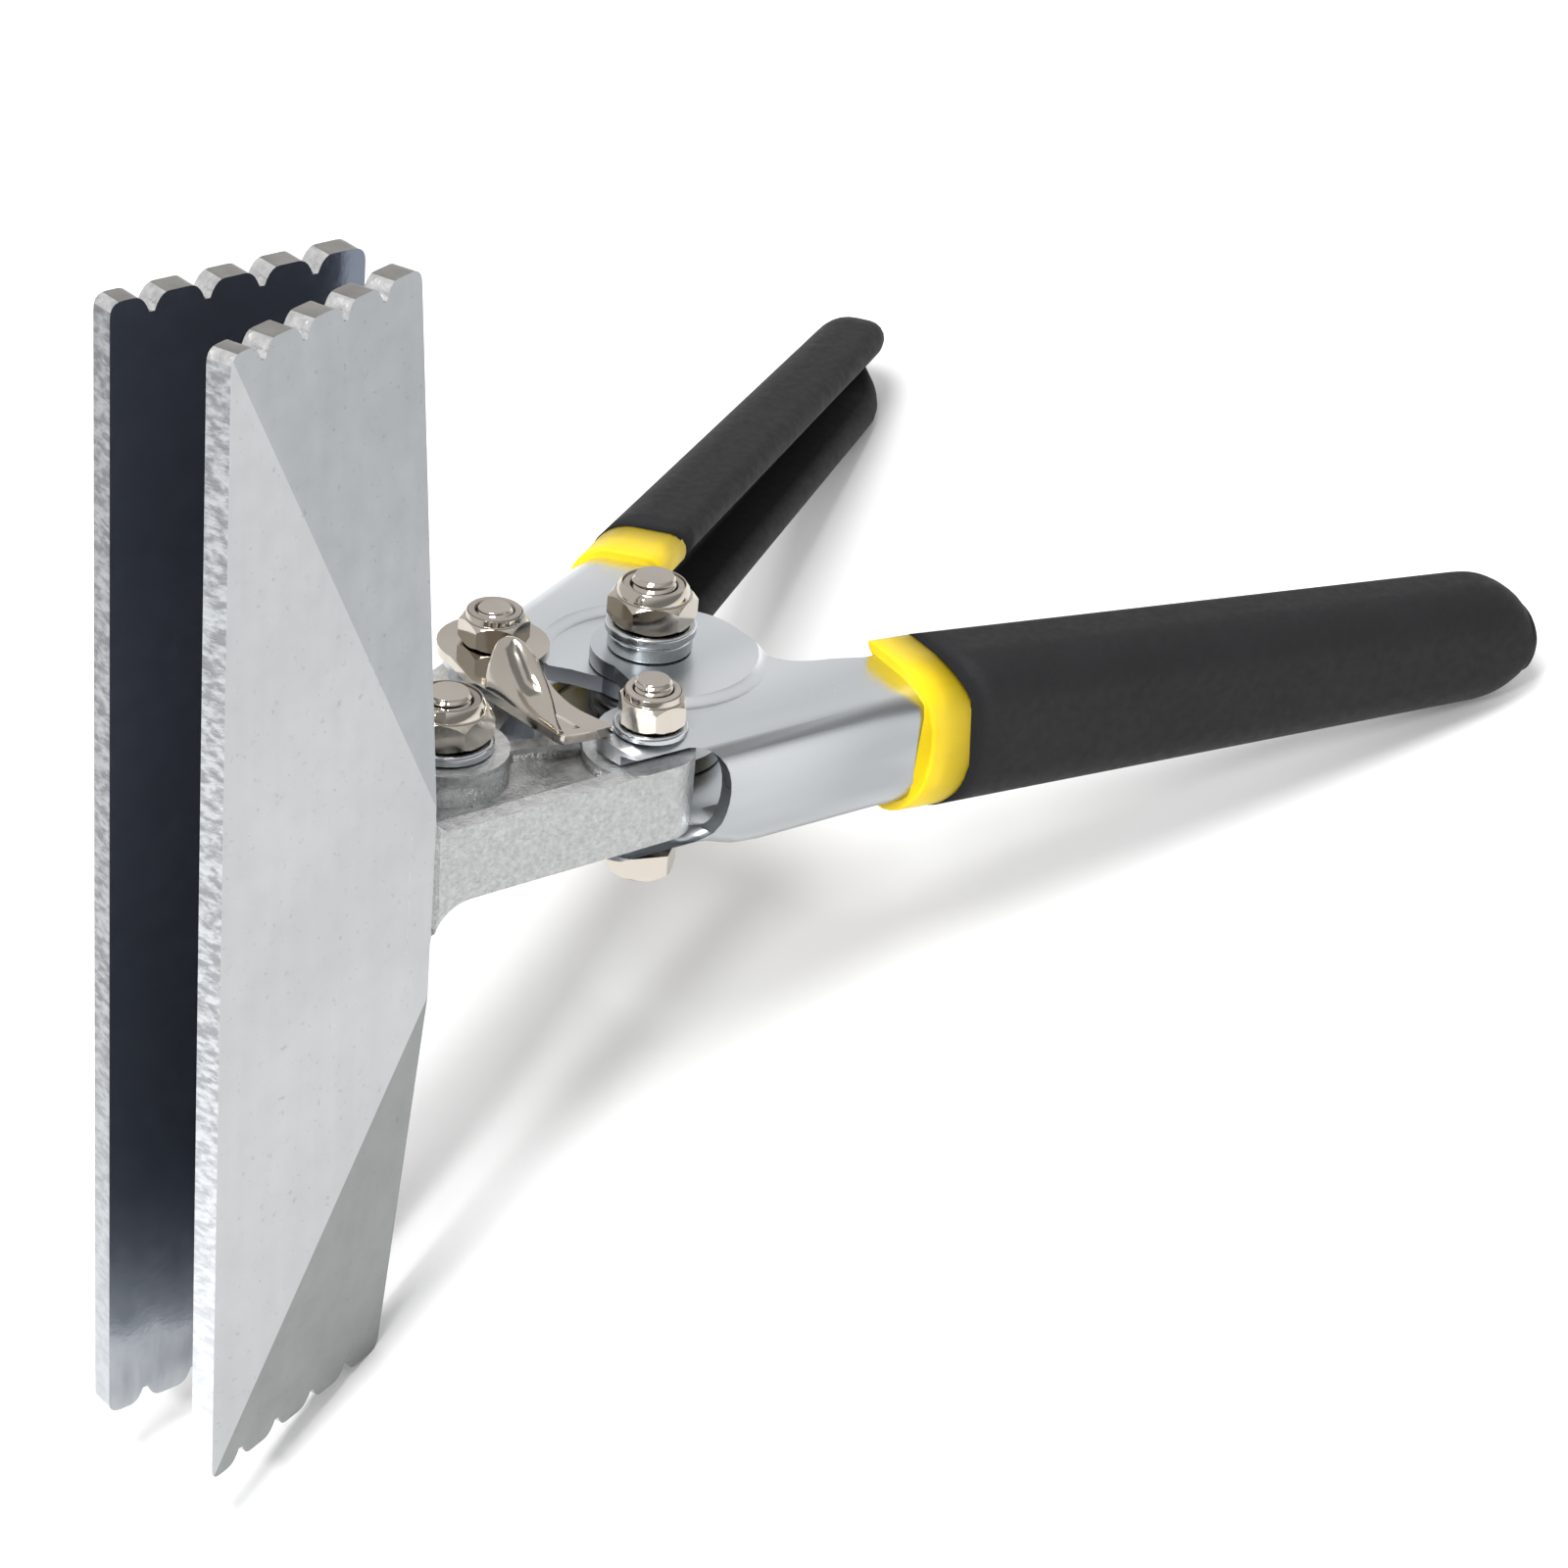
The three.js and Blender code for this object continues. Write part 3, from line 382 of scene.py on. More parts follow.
EDGE_ANGLE = math.radians(32)    # edges that turn by more than this are rounded
JAW_EDGE = 0.3 * MM
SHEET_EDGE = 0.4 * MM
SMALL_EDGE = 0.15 * MM           # of the fasteners, the washers and the latch
SMALL_SEGMENTS = 2


def rounded(bm, radius, segments=3):
    """Rounds the outward edges, and gives the new faces the second material."""
    sharp = [edge for edge in bm.edges
             if len(edge.link_faces) == 2 and edge.is_convex
             and edge.calc_face_angle(0) > EDGE_ANGLE]
    made = bmesh.ops.bevel(bm, geom=sharp, offset=radius, segments=segments, profile=0.5,
                           affect="EDGES", clamp_overlap=True, offset_type="OFFSET")
    for face in made["faces"]:
        face.material_index = 1


def cut_off(bm, place, normal):
    """Takes away what is beyond the plane through the place, and closes the cut."""
    cut = bmesh.ops.bisect_plane(
        bm, geom=bm.verts[:] + bm.edges[:] + bm.faces[:], plane_co=place, plane_no=normal,
        clear_outer=True)
    rim = [edge for edge in cut["geom_cut"] if isinstance(edge, bmesh.types.BMEdge)]
    bmesh.ops.contextual_create(bm, geom=rim)


def skin(bm, rings):
    """Faces from ring to ring, and one over each end."""
    faces = []
    for first, second in zip(rings, rings[1:]):
        for j, corner in enumerate(first):
            after = (j + 1) % len(first)
            faces.append(bm.faces.new((corner, first[after], second[after], second[j])))
    faces.append(bm.faces.new(rings[0][::-1]))
    faces.append(bm.faces.new(rings[-1]))
    return faces


def piece_from(bm, name, materials):
    """A smoothly shaded object from the bmesh, which is used up."""
    mesh = bpy.data.meshes.new(name)
    for face in bm.faces:
        face.smooth = True
    bm.to_mesh(mesh)
    bm.free()
    piece = bpy.data.objects.new(name, mesh)
    bpy.context.scene.collection.objects.link(piece)
    for material in materials:
        mesh.materials.append(material)
    weighted = piece.modifiers.new("weighted", "WEIGHTED_NORMAL")
    weighted.weight = 80
    weighted.keep_sharp = True
    return piece


def stands_for(piece, node, body=None):
    """The piece takes the node's place, on the node's own body or on the one given."""
    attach(piece, body or body_of[node])
    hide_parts(node)


def refine(node):
    """A small piece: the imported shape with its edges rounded."""
    bm = welded(node)
    rounded(bm, SMALL_EDGE, SMALL_SEGMENTS)
    stands_for(piece_from(bm, node + "_finished", FINISH[slot_of[node]]), node)


# ---------------------------------------------------------------------------------------------
# Jaws: one material for each region, found in the closed jaw's own frame on the near side
# ---------------------------------------------------------------------------------------------

BLADE, RIM, UPPER, LOWER, FRONT, INNER, END, NOTCH, ARM_SIDE, ARM_TOP = range(10)


def jaw_finish(node):
    edge = near_edge_zinc if node == "near_jaw" else far_edge_shaded_zinc
    return [blade_zinc, worn_rim, upper_facet_shaded_zinc, lower_facet_shaded_zinc, edge, inner_zinc, end_zinc,
            notch_zinc, cast_side, cast_top_painted_light]


ROOT_DEPTH = 5 * MM          # how far the arm's root reaches into the blade
ROOT_PROUD = 1.5 * MM        # the most that it stands off the middle facet
ROOT_SEAM = 0.1 * MM
CORNER_ZONE = 5 * MM         # height at the blade's upper end where its rear edge is measured
ARM_START = 0.2 * MM         # the arm's own faces begin this far behind the blade
NOTCH_ZONE = 2.6 * MM        # the notches lie within this distance of the blade's ends
END_ZONE = 0.15 * MM         # and the end faces within this one
END_FLARE = 0.12             # least share up or down of an end's or a notch's direction
ARM_LEVEL = 0.6              # the same for the arm's top
FACET_TILT = 0.05            # and for the upper and lower facets
SQUARE_ON = 0.8              # least share of a face's direction, if it looks in or out
EDGE_ON = 0.7                # and if it looks to the front or rear


def closed_near(node):
    """A function from the part's frame to the closed near jaw's, for this jaw."""
    side = 1 if node == "near_jaw" else -1
    swing = Matrix.Rotation(-JAW_SWING * side, 4, "Z")
    mirror = Matrix.Diagonal((1, side, 1, 1))
    return mirror @ swing @ TO_TOOL


def jaw_region(place, normal, back, half):
    """The region of a face with this middle and direction.

    The blade's rear edge is at `back`, and `half` is half its width.
    """
    if place.x > back + ARM_START:
        if normal.z > ARM_LEVEL:
            return ARM_TOP
        return INNER if normal.y > SQUARE_ON else ARM_SIDE
    if abs(place.z) > half - NOTCH_ZONE and abs(normal.z) > END_FLARE:
        return END if abs(place.z) > half - END_ZONE else NOTCH
    if normal.y > SQUARE_ON:
        return INNER
    if normal.x < -EDGE_ON:
        return FRONT
    if normal.x > EDGE_ON:
        return ARM_SIDE
    if abs(normal.z) > FACET_TILT:
        return UPPER if normal.z > 0 else LOWER
    return BLADE


def seat_root(bm, to_closed, back):
    """Brings the arm's outer side down to the middle facet where the two meet."""
    outer = [face for face in bm.faces
             if (to_closed.to_3x3() @ face.normal).y < -SQUARE_ON
             and (to_closed @ face.calc_center_median()).x < back - ROOT_DEPTH]
    facet = max(outer, key=lambda face: face.calc_area())
    foot = facet.verts[0].co.copy()
    for vertex in bm.verts:
        proud = (vertex.co - foot).dot(facet.normal)
        x = (to_closed @ vertex.co).x
        if back - ROOT_DEPTH < x < back + ROOT_SEAM and 0 < proud < ROOT_PROUD:
            vertex.co -= facet.normal * (proud + ROOT_SEAM / 10)


def refine_jaw(node):
    """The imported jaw, its arm's root seated, with a material for each region."""
    to_closed = closed_near(node)
    turn = to_closed.to_3x3()
    points = [to_closed @ vertex.co for vertex in frame["nodes"][node].data.vertices]
    half = max(point.z for point in points)
    back = max(point.x for point in points if point.z > half - CORNER_ZONE)
    bm = welded(node)
    for face in bm.faces:
        face.normal_update()
    seat_root(bm, to_closed, back)
    regions = bm.faces.layers.int.new("region")
    for face in bm.faces:
        face[regions] = jaw_region(
            to_closed @ face.calc_center_median(), turn @ face.normal, back, half)
    rounded(bm, JAW_EDGE)
    for face in bm.faces:
        if face.material_index != RIM:
            face.material_index = face[regions]
    stands_for(piece_from(bm, node + "_finished", jaw_finish(node)), node)


# ---------------------------------------------------------------------------------------------
# Grips: thick dipped vinyl round the channel, with its end filled and rounded
# ---------------------------------------------------------------------------------------------

GRIP_BEND = 5.9 * MM         # outside radius of the grip's bends
GRIP_PROUD = 0.12 * MM       # grip over the band that it covers
GRIP_WALL = 4.9 * MM         # sheet and coating together
GRIP_TONGUE = 8.85 * MM      # from the flanges' last full section to the wall's end
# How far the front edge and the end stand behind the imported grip's
GRIP_SHIFT = {"near": (0.6 * MM, -0.4 * MM), "far": (0.3 * MM, 3.8 * MM)}
GRIP_DEEPER = {"near": 0, "far": 0.5 * MM}   # the flanges at the end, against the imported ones
GRIP_HIGHER = {"near": 1.1 * MM, "far": 0}   # the upper flange, likewise
FRONT_SECTION = 9 * MM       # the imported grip's front section is measured over this length
END_SECTION = 2 * MM         # and its end section from this far before the tongue
DOME = 9.5 * MM              # length of the end's rounding, seen from the wall's side
FLANGE_DOME = 11 * MM        # and of the flanges', seen from above
FULLNESS = 2.3               # of both roundings: 2 is an ellipse
NOSE = 2.6 * MM              # length over which the wall thins to its tip
THIN_HALF = 0.2 * MM         # least half height at the tip
THIN_WALL = 0.3 * MM
# The dipped front edge: how far it leans back for each mm of height and of depth, and how much
# further back it lies in the wall's middle than at the bends
DIP_SLANT = {"near": 0, "far": 0.07}
DIP_TURN = {"near": -0.09, "far": 0.087}
DIP_SAG = {"near": 3.7 * MM, "far": 0}
GRIP_STATIONS = 18           # sections before the rounding
DOME_STATIONS = 26           # and in it
BAND_LENGTH = {"near": 6.3 * MM, "far": 8.2 * MM}
BAND_EDGE = 0.5 * MM         # rounding of the band's front edge
BAND_EDGE_STEPS = 3
HANDLE_HIDDEN = 4 * MM       # how far the modelled handle runs on inside its grip


class GripFrame:
    """A grip's measures, along its outer wall, in from it, and up, in the tool's frame."""

    def __init__(self, side):
        node = side + "_grip"
        outward = 1 if side == "far" else -1
        bm = welded(node)
        faces = [face for face in bm.faces if (TURN_TO_TOOL @ face.normal).y * outward > SQUARE_ON]
        wall = max(faces, key=lambda face: face.calc_area())
        self.inward = -(TURN_TO_TOOL @ wall.normal)
        self.along = Vector((self.inward.y, -self.inward.x, 0)) * math.copysign(1, self.inward.y)
        self.origin = TO_TOOL @ wall.calc_center_median()
        self.origin.z = 0
        bm.free()
        self.origin -= self.inward * max(
            (self.origin - point).dot(self.inward) for point in in_tool(node))
        points = [point - self.origin for point in in_tool(node)]
        runs = [point.dot(self.along) for point in points]
        start, end = min(runs), max(runs)
        front_shift, end_shift = GRIP_SHIFT[side]
        self.front = start + front_shift
        self.end = end + end_shift
        tongue = end - GRIP_TONGUE
        first = [point for point, run in zip(points, runs) if run < start + FRONT_SECTION]
        last = [point for point, run in zip(points, runs) if run > tongue - END_SECTION]
        self.top = [max(point.z for point in group) for group in (first, last)]
        self.low = [min(point.z for point in group) for group in (first, last)]
        self.depth = [max(point.dot(self.inward) for point in group) for group in (first, last)]
        self.depth[1] += GRIP_DEEPER[side]
        self.top = [height + GRIP_HIGHER[side] for height in self.top]
        self.dip = DIP_SLANT[side], DIP_TURN[side], DIP_SAG[side]

    def place(self, run, inward, height):
        """A point of the part's frame, from its distances along, in and up."""
        rise = Vector((0, 0, height))
        return TOOL @ (self.origin + self.along * run + self.inward * inward + rise)

    def lean(self, inward, height):
        """How far back the dipped front edge is, from its place at the bends."""
        slant, turn, sag = self.dip
        middle = (self.top[0] + self.low[0]) / 2
        rise = min(abs(height - middle) / (self.top[0] - middle), 1)
        return height * slant + inward * turn + sag * (1 - rise * rise)

    def at(self, pair, run):
        """A measure at this run, from its values at the front and at the tongue."""
        share = (run - self.front) / (self.end - GRIP_TONGUE - self.front)
        return pair[0] + (pair[1] - pair[0]) * share


def arc(centre, radius, start, stop, steps):
    """Points on part of a circle; start and stop are in quarter turns."""
    points = []
    for i in range(steps + 1):
        angle = (start + (stop - start) * i / steps) * math.pi / 2
        points.append((centre[0] + radius * math.cos(angle), centre[1] + radius * math.sin(angle)))
    return points


def channel_section(top, low, near, depth, wall, bend):
    """A C section open inwards, with full round lips: (in from the wall, height) points."""
    half = (top - low) / 2
    middle = (top + low) / 2
    flange = min(wall, half)
    bend = min(bend, half, depth - near)
    lip = flange / 2
    reach = max(depth - lip, near + bend)
    inside = min(near + wall, reach)
    roof = middle + half - flange
    floor = middle - half + flange
    inner_bend = min(max(bend - wall, 1 * MM), (roof - floor) / 2, reach - inside)
    points = arc((near + bend, top - bend), bend, 1, 2, 8)
    points += [(near, middle + share * (half - bend)) for share in (0.5, 0, -0.5)]
    points += arc((near + bend, low + bend), bend, 2, 3, 8)
    points += arc((reach, low + lip), lip, -1, 1, 8)
    points += arc((inside + inner_bend, floor + inner_bend), inner_bend, 3, 2, 4)
    points += arc((inside + inner_bend, roof - inner_bend), inner_bend, 2, 1, 4)
    points += arc((reach, top - lip), lip, -1, 1, 8)
    return points


def round_off(run, end, length):
    """1 before the last `length` of the grip, then down a full quarter round to 0 at the end."""
    t = min(max((run - end + length) / length, 0), 1)
    return (1 - t ** FULLNESS) ** (1 / FULLNESS)


def joined(bm, rings):
    """A closed skin through the rings, with meeting corners made one."""
    skin(bm, rings)
    bmesh.ops.remove_doubles(bm, verts=bm.verts, dist=0.01 * MM)
    bmesh.ops.recalc_face_normals(bm, faces=bm.faces)


def refine_grip(node):
    """Channel sections along the handle, shrunk to a round end."""
    side = node.split("_")[0]
    grip = GripFrame(side)
    bm = bmesh.new()
    rings = []
    dome_start = grip.end - FLANGE_DOME
    for i in range(GRIP_STATIONS + DOME_STATIONS + 1):
        in_dome = max(0, i - GRIP_STATIONS) / DOME_STATIONS
        last = min(i / GRIP_STATIONS, 1)
        run = grip.front + (dome_start - grip.front) * last
        run += FLANGE_DOME * math.sin(in_dome * math.pi / 2)
        top, low, depth = (grip.at(pair, run) for pair in (grip.top, grip.low, grip.depth))
        middle = (top + low) / 2
        half = (top - low) / 2 + GRIP_PROUD
        half = max(half * round_off(run, grip.end, DOME), THIN_HALF)
        nose = GRIP_WALL / 2 * (1 - round_off(run, grip.end, NOSE))
        wall = max(GRIP_WALL - 2 * nose, THIN_WALL)
        depth = nose + wall + (depth - GRIP_WALL) * round_off(run, grip.end - NOSE / 2, FLANGE_DOME)
        ring = []
        for inward, height in channel_section(
                middle + half, middle - half, nose, max(depth, nose + wall), wall, GRIP_BEND):
            lean = grip.lean(inward, height) * (1 - last)
            ring.append(bm.verts.new(grip.place(run + lean, inward - GRIP_PROUD, height)))
        rings.append(ring)
    joined(bm, rings)
    stands_for(piece_from(bm, node + "_finished", [grip_vinyl]), node)


def refine_handle(node):
    """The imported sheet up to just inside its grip."""
    grip = GripFrame(node.split("_")[0])
    bm = welded(node)
    cut_off(bm, grip.place(grip.front + HANDLE_HIDDEN, 0, 0), TOOL.to_3x3() @ grip.along)
    rounded(bm, SHEET_EDGE)
    stands_for(piece_from(bm, node + "_finished", FINISH[slot_of[node]]), node)


def refine_band(node):
    """The same skin as the grip, from the band's rounded front edge to inside the grip."""
    side = node.split("_")[0]
    grip = GripFrame(side)
    start = grip.front - BAND_LENGTH[side]
    bm = bmesh.new()
    rings = []
    edge = [i / BAND_EDGE_STEPS * math.pi / 2 for i in range(BAND_EDGE_STEPS + 1)]
    steps = [(start + BAND_EDGE * (1 - math.cos(a)), BAND_EDGE * (1 - math.sin(a))) for a in edge]
    steps.append((grip.front + BAND_EDGE, 0))
    for run, inset in steps:
        ring = []
        for inward, height in channel_section(
                grip.top[0] - inset, grip.low[0] + inset, inset, grip.depth[0] - inset,
                GRIP_WALL - 2 * inset, GRIP_BEND - inset):
            lean = grip.lean(inward, height)
            ring.append(bm.verts.new(grip.place(run + lean, inward, height)))
        rings.append(ring)
    joined(bm, rings)
    stands_for(piece_from(bm, node + "_finished", [band_vinyl]), node)


# ---------------------------------------------------------------------------------------------
# Bolts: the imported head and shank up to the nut, and a threaded end
# ---------------------------------------------------------------------------------------------

THREAD_HIDDEN = 1.8 * MM     # how far the modelled thread runs down into its nut
THREAD_SIDES = 48
THREAD_ROWS = 10             # rows of faces in one turn
THREAD_DEPTH = 0.5           # as a share of the pitch
LARGE_BOLT = 2.75 * MM       # least radius of the larger size, with the coarser thread
LARGE_PITCH = 1.0 * MM
SMALL_PITCH = 0.8 * MM
TIP = 2 * MM                 # length of the bolt's end over which its radius is measured
CHAMFER = 0.6 * MM
CHAMFER_SLOPE = 0.85


def refine_bolt(node, nut):
    """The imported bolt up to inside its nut, and a second piece for its thread."""
    points = in_tool(node)
    centre = centre_of(nut)
    end = max(point.z for point in points)
    radius = max((point - centre).xy.length for point in points if point.z > end - TIP)
    start = span(nut, 2)[1] - THREAD_HIDDEN
    axis = Vector((centre.x, centre.y, 0))

    bm = welded(node)
    cut_off(bm, TOOL @ (axis + Vector((0, 0, start))), tool_up)
    rounded(bm, SMALL_EDGE, SMALL_SEGMENTS)
    stands_for(piece_from(bm, node + "_finished", FINISH[slot_of[node]]), node)

    pitch = LARGE_PITCH if radius > LARGE_BOLT else SMALL_PITCH
    rows = round((end - start) / pitch * THREAD_ROWS)
    bm = bmesh.new()
    rings = []
    for row in range(rows + 1):
        height = start + (end - start) * row / rows
        ring = []
        for side in range(THREAD_SIDES):
            angle = 2 * math.pi * side / THREAD_SIDES
            phase = (height / pitch - side / THREAD_SIDES) % 1
            reach = radius - THREAD_DEPTH * pitch * abs(2 * phase - 1)
            reach = min(reach, radius - CHAMFER_SLOPE * max(0, height - end + CHAMFER))
            ring.append(bm.verts.new(TOOL @ (axis + Vector(
                (reach * math.cos(angle), reach * math.sin(angle), height)))))
        rings.append(ring)
    skin(bm, rings)
    stands_for(piece_from(bm, node + "_thread", [nickel]), node)


# ---------------------------------------------------------------------------------------------
# Latch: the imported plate, and a thumb tab curled up from its front edge
# ---------------------------------------------------------------------------------------------

LATCH_PLATE = 1.3 * MM
PLATE_CUT = 0.02 * MM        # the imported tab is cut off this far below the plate's top
LATCH_FRONT = Vector((-12, -9.4)) * MM   # front corner: from the far link bolt, and off mid-line
LATCH_REAR = Vector((-10, -6)) * MM      # front edge's other end, from the far link bolt
TAB_THICK = 1.3 * MM
TAB_FILLET = 2.2 * MM
TAB_CURVE = 6                # steps over each of the tab's two faces
TAB_RINGS = 18
TAB_CROWN = 0.25             # how far its top bulges, as a share of its thickness
# The inner face's middle, as shares of the top edge's places back and up
TAB_BELLY = Vector((0.2, 0.3))
# The tab's top edge, from the front corner: along the front edge, back, and up, in mm
TAB_EDGE = [Vector(point) * MM for point in (
    (0.3, 0.1, 0.08), (2.2, 0.8, 0.9), (5, 2.3, 2.2), (7.6, 3.1, 3.9), (10, 3, 6.1),
    (12.2, 2.3, 7.5), (14, 1.4, 7.2), (15, 1, 5.2))]


def bent(first, middle, last, steps):
    """A quadratic curve between two points, pulled towards a third."""
    points = []
    for i in range(steps + 1):
        t = i / steps
        points.append((1 - t) ** 2 * first + 2 * t * (1 - t) * middle + t * t * last)
    return points


def on_spline(points, t):
    """A smooth curve through the points; t runs from 0 to 1."""
    place = t * (len(points) - 1)
    i = min(int(place), len(points) - 2)
    u = place - i
    before = points[i - 1] if i > 0 else 2 * points[0] - points[1]
    after = points[i + 2] if i + 2 < len(points) else 2 * points[-1] - points[-2]
    first, last = points[i], points[i + 1]
    return 0.5 * (2 * first + (last - before) * u
                  + (2 * before - 5 * first + 4 * last - after) * u * u
                  + (3 * first - before - 3 * last + after) * u ** 3)


def refine_latch(node):
    """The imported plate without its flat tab, and the curled one."""
    eye = TO_TOOL @ Vector(joints["far_link"]["pos_m"])
    seat = span(node, 2)[0]
    front = Vector((eye.x + LATCH_FRONT.x, LATCH_FRONT.y))
    rear = eye.xy + LATCH_REAR
    along = (rear - front).normalized()
    inward = Vector((along.y, -along.x))

    bm = welded(node)
    cut_off(bm, TOOL @ Vector((0, 0, seat + LATCH_PLATE - PLATE_CUT)), tool_up)
    rounded(bm, SMALL_EDGE, SMALL_SEGMENTS)

    rings = []
    for i in range(TAB_RINGS + 1):
        run, back, up = on_spline(TAB_EDGE, i / TAB_RINGS)
        tip = Vector((back, LATCH_PLATE + up))
        outer = bent(Vector((0, 0)), Vector((0, LATCH_PLATE + up / 2)), tip, TAB_CURVE)
        lean = (outer[-1] - outer[-2]).normalized()
        crest = Vector((tip.x + TAB_THICK * lean.y, tip.y - TAB_THICK * lean.x))
        crown = (tip + crest) / 2 + TAB_CROWN * TAB_THICK * lean
        belly = Vector((TAB_THICK + back * TAB_BELLY.x, LATCH_PLATE + up * TAB_BELLY.y))
        inner = bent(crest, belly, Vector((TAB_THICK + TAB_FILLET, LATCH_PLATE)), TAB_CURVE)
        ring = []
        for point in outer + [crown] + inner + [Vector((TAB_THICK + TAB_FILLET, 0))]:
            place = front + along * run + inward * point.x
            ring.append(bm.verts.new(TOOL @ Vector((place.x, place.y, seat + point.y))))
        rings.append(ring)
    bmesh.ops.recalc_face_normals(bm, faces=skin(bm, rings))
    stands_for(piece_from(bm, node + "_finished", FINISH[slot_of[node]]), node)


# ---------------------------------------------------------------------------------------------
# Return spring: the coil and near leg ride with the near handle, the far leg with the far one
# ---------------------------------------------------------------------------------------------

WIRE = 0.8 * MM              # half the wire's thickness
WIRE_SIDES = 12
WIRE_TIP = 0.7               # thickness of the wire's ends, as a share of the wire's
COIL = 6.1 * MM              # axis to the wire's middle
COIL_STEP = math.radians(9)
LEG = 28 * MM
LEG_PLACES = (0.02, 0.4, 0.98, 1)
LEG_SPREAD = math.radians(45)
COIL_TURNS = 3.5
COIL_SWEEP = COIL_TURNS * 2 * math.pi - 2 * LEG_SPREAD
LEG_TRAVEL = math.radians(28)    # the far leg's turn about the coil as the handles close


def tube(name, path):
    """A round wire along a path of points in the tool's frame, closed at both ends."""
    bm = bmesh.new()
    rings = []
    for i, point in enumerate(path):
        heading = (path[min(i + 1, len(path) - 1)] - path[max(i - 1, 0)]).normalized()
        across = heading.cross(Vector((0, 0, 1))).normalized()
        lift = across.cross(heading)
        shrink = WIRE_TIP if i in (0, len(path) - 1) else 1
        ring = []
        for side in range(WIRE_SIDES):
            angle = 2 * math.pi * side / WIRE_SIDES
            out = WIRE * shrink * (math.cos(angle) * across + math.sin(angle) * lift)
            ring.append(bm.verts.new(TOOL @ (point + out)))
        rings.append(ring)
    skin(bm, rings)
    bmesh.ops.recalc_face_normals(bm, faces=bm.faces)
    return piece_from(bm, name, [spring_steel])


def refine_spring(node):
    """Coil and near leg in one piece, and the far leg with its start on the coil in another."""
    centre = centre_of("handle_pivot_bush")
    low, high = span(node, 2)
    low += WIRE
    high -= WIRE
    begin = math.pi / 2 + LEG_SPREAD

    def on_coil(angle):
        height = max(low + (high - low) * (angle - begin) / COIL_SWEEP, low)
        x = centre.x + COIL * math.cos(angle)
        y = centre.y + COIL * math.sin(angle)
        return Vector((x, y, height))

    def leg(angle, sign):
        heading = sign * Vector((-math.sin(angle), math.cos(angle), 0))
        return [on_coil(angle) + heading * LEG * share for share in LEG_PLACES]

    steps = math.ceil((COIL_SWEEP + LEG_TRAVEL) / COIL_STEP)
    start = begin - LEG_TRAVEL
    coil = [on_coil(start + (COIL_SWEEP + LEG_TRAVEL) * i / steps) for i in range(steps + 1)]
    stands_for(tube(node + "_coil", coil + leg(begin + COIL_SWEEP, 1)), node)
    far = [on_coil(begin)] + leg(begin, -1)
    stands_for(tube(node + "_far_leg", far), node, "far_handle")


# ---------------------------------------------------------------------------------------------
# Studio: pale floor, bright above and behind, a key light overhead and a small one in front
# ---------------------------------------------------------------------------------------------

FLOOR_RADIUS = 3.0
FLOOR_SIDES = 96
FLOOR_COLOUR = (0.92, 0.92, 0.92)
FLOOR_GLOW = 0.05            # the floor's own light, which lifts its shadows
SKY_WAY = (0.1, 0.7, 0.7)    # towards the bright part of the surroundings
SKY_EDGE = (-0.35, 0.25)     # where they change, as the height along that direction
SKY_LEVEL = (0.30, 0.80)     # their light on the dim and on the bright part
# Name, place, what it is aimed at, diameter and power
LIGHTS = (
    ("key", (-0.17, -0.10, 1.05), (0, 0, 0), 0.40, 8),
    ("side", (-0.80, -0.13, 0.83), (0, 0, 0.05), 0.14, 4),
)


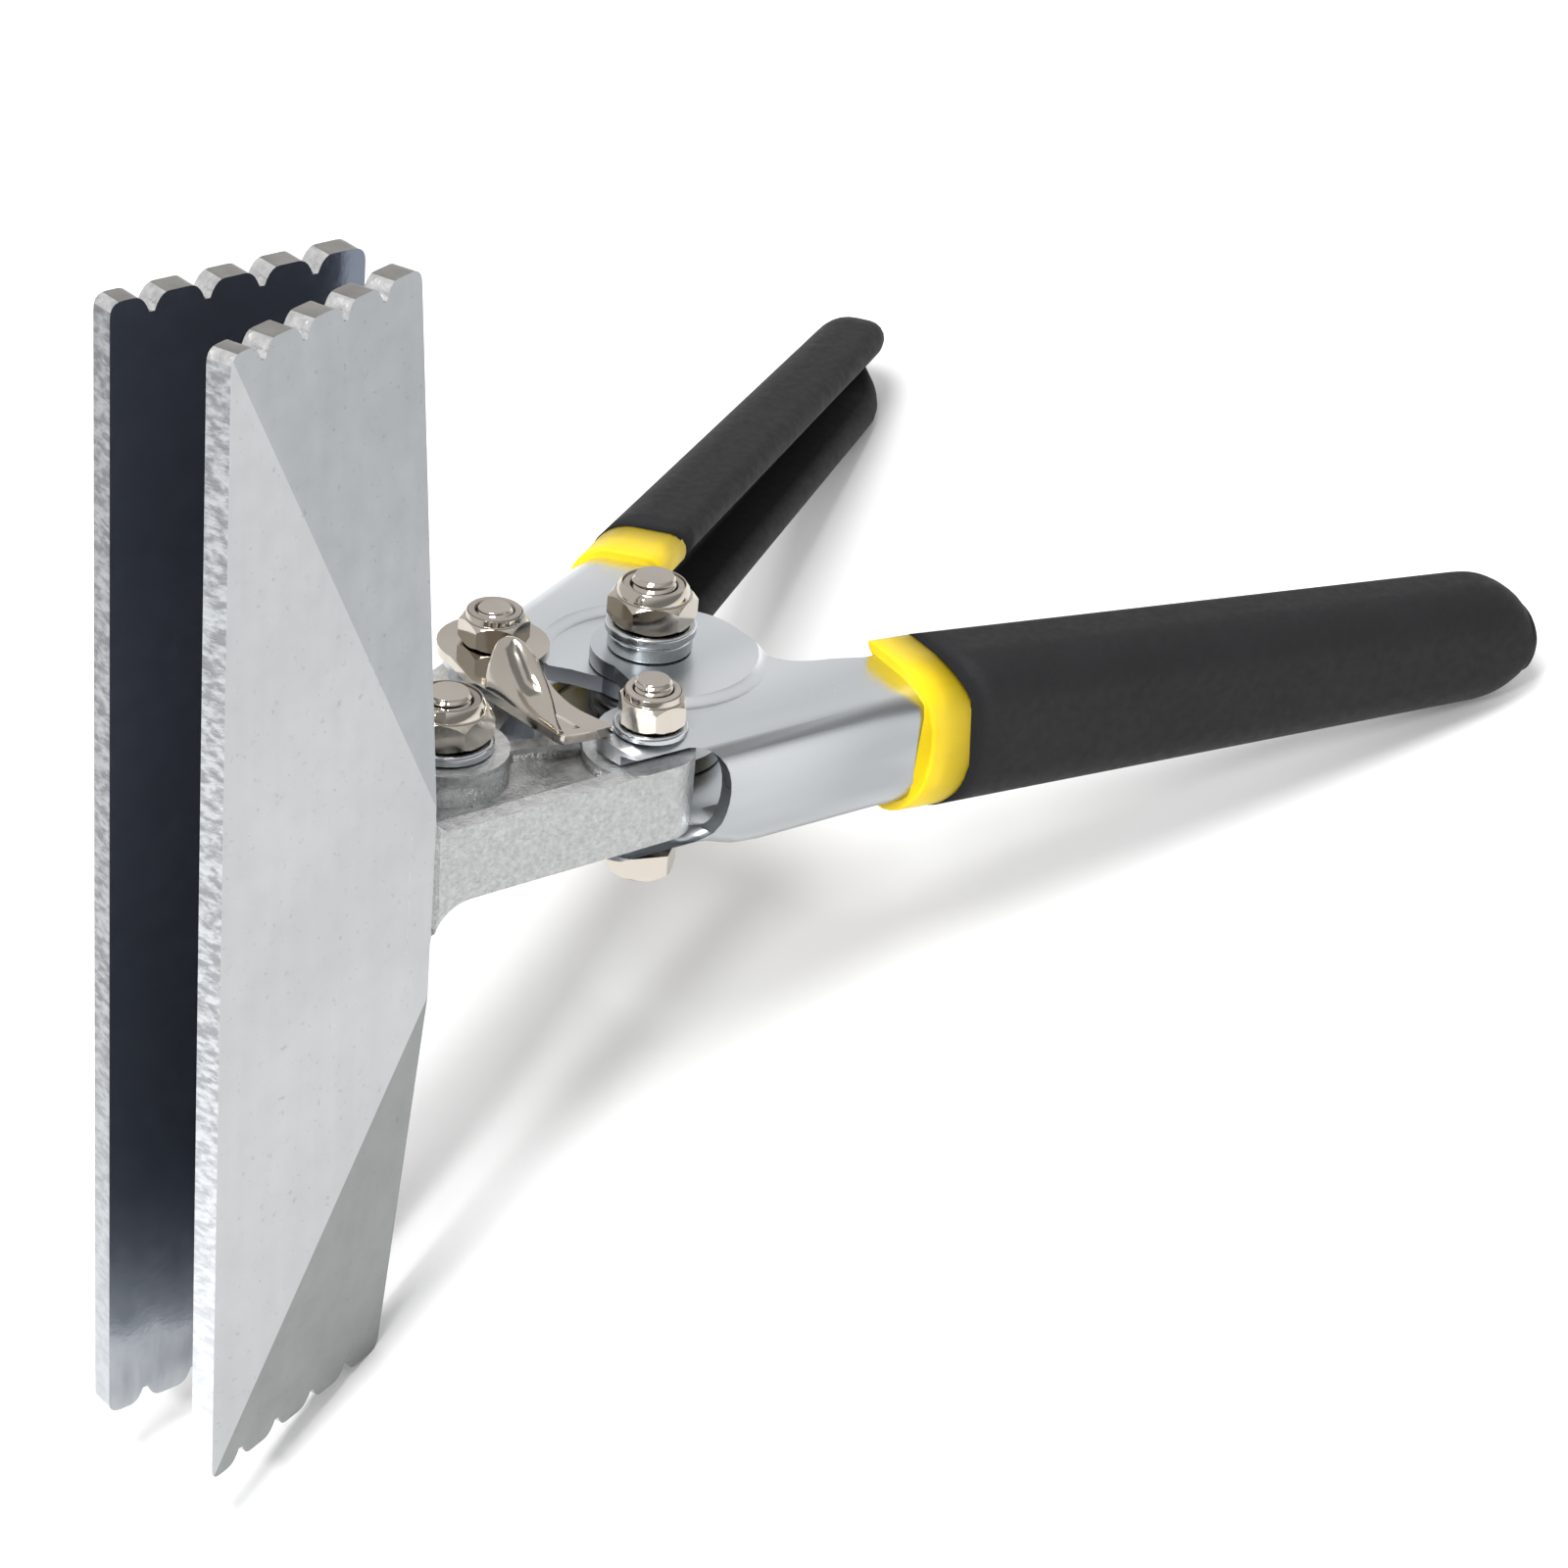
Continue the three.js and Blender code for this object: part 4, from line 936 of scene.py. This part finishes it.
def add_floor():
    bm = bmesh.new()
    bmesh.ops.create_circle(bm, cap_ends=True, radius=FLOOR_RADIUS, segments=FLOOR_SIDES)
    mesh = bpy.data.meshes.new("floor")
    bm.to_mesh(mesh)
    bm.free()
    floor = bpy.data.objects.new("floor", mesh)
    bpy.context.scene.collection.objects.link(floor)
    lit = Nodes("floor", FLOOR_COLOUR, 0, 0.9)
    lit.shader.inputs["Emission Color"].default_value = (1, 1, 1, 1)
    lit.shader.inputs["Emission Strength"].default_value = FLOOR_GLOW
    mesh.materials.append(lit.material)


def add_light(name, place, target, size, power):
    data = bpy.data.lights.new(name, "AREA")
    data.shape = "DISK"
    data.size = size
    data.energy = power
    light = bpy.data.objects.new(name, data)
    bpy.context.scene.collection.objects.link(light)
    light.location = place
    light.rotation_euler = (Vector(target) - Vector(place)).to_track_quat("-Z", "Y").to_euler()


def add_world():
    """Bright above and behind, and dim towards the front and near side."""
    world = bpy.data.worlds.new("studio")
    world.use_nodes = True
    bpy.context.scene.world = world
    tree = world.node_tree
    heading = tree.nodes.new("ShaderNodeTexCoord").outputs["Generated"]
    dot = tree.nodes.new("ShaderNodeVectorMath")
    dot.operation = "DOT_PRODUCT"
    dot.inputs[1].default_value = SKY_WAY
    tree.links.new(heading, dot.inputs[0])
    level = tree.nodes.new("ShaderNodeMapRange")
    level.interpolation_type = "SMOOTHSTEP"
    level.inputs["From Min"].default_value, level.inputs["From Max"].default_value = SKY_EDGE
    level.inputs["To Min"].default_value, level.inputs["To Max"].default_value = SKY_LEVEL
    tree.links.new(dot.outputs["Value"], level.inputs["Value"])
    background = tree.nodes["Background"]
    background.inputs["Color"].default_value = (1, 1, 1, 1)
    tree.links.new(level.outputs["Result"], background.inputs["Strength"])


# ---------------------------------------------------------------------------------------------
# The scene
# ---------------------------------------------------------------------------------------------

add_camera()

BOLT_NUTS = {f"{joint}_bolt": f"{joint}_nut"
             for joint in ("jaw_pivot", "near_link", "far_link", "handle_pivot")}

for node in frame["nodes"]:
    slot = slot_of[node]
    if slot == "jaw_zinc":
        refine_jaw(node)
    elif node in BOLT_NUTS:
        refine_bolt(node, BOLT_NUTS[node])
    elif slot == "spring_steel":
        refine_spring(node)
    elif slot == "handle_zinc":
        refine_handle(node)
    elif slot == "grip_vinyl":
        refine_grip(node)
    elif slot == "band_vinyl":
        refine_band(node)
    elif node == "latch":
        refine_latch(node)
    else:
        refine(node)

add_floor()
add_world()
for light in LIGHTS:
    add_light(*light)
bpy.context.scene.view_settings.view_transform = "Standard"
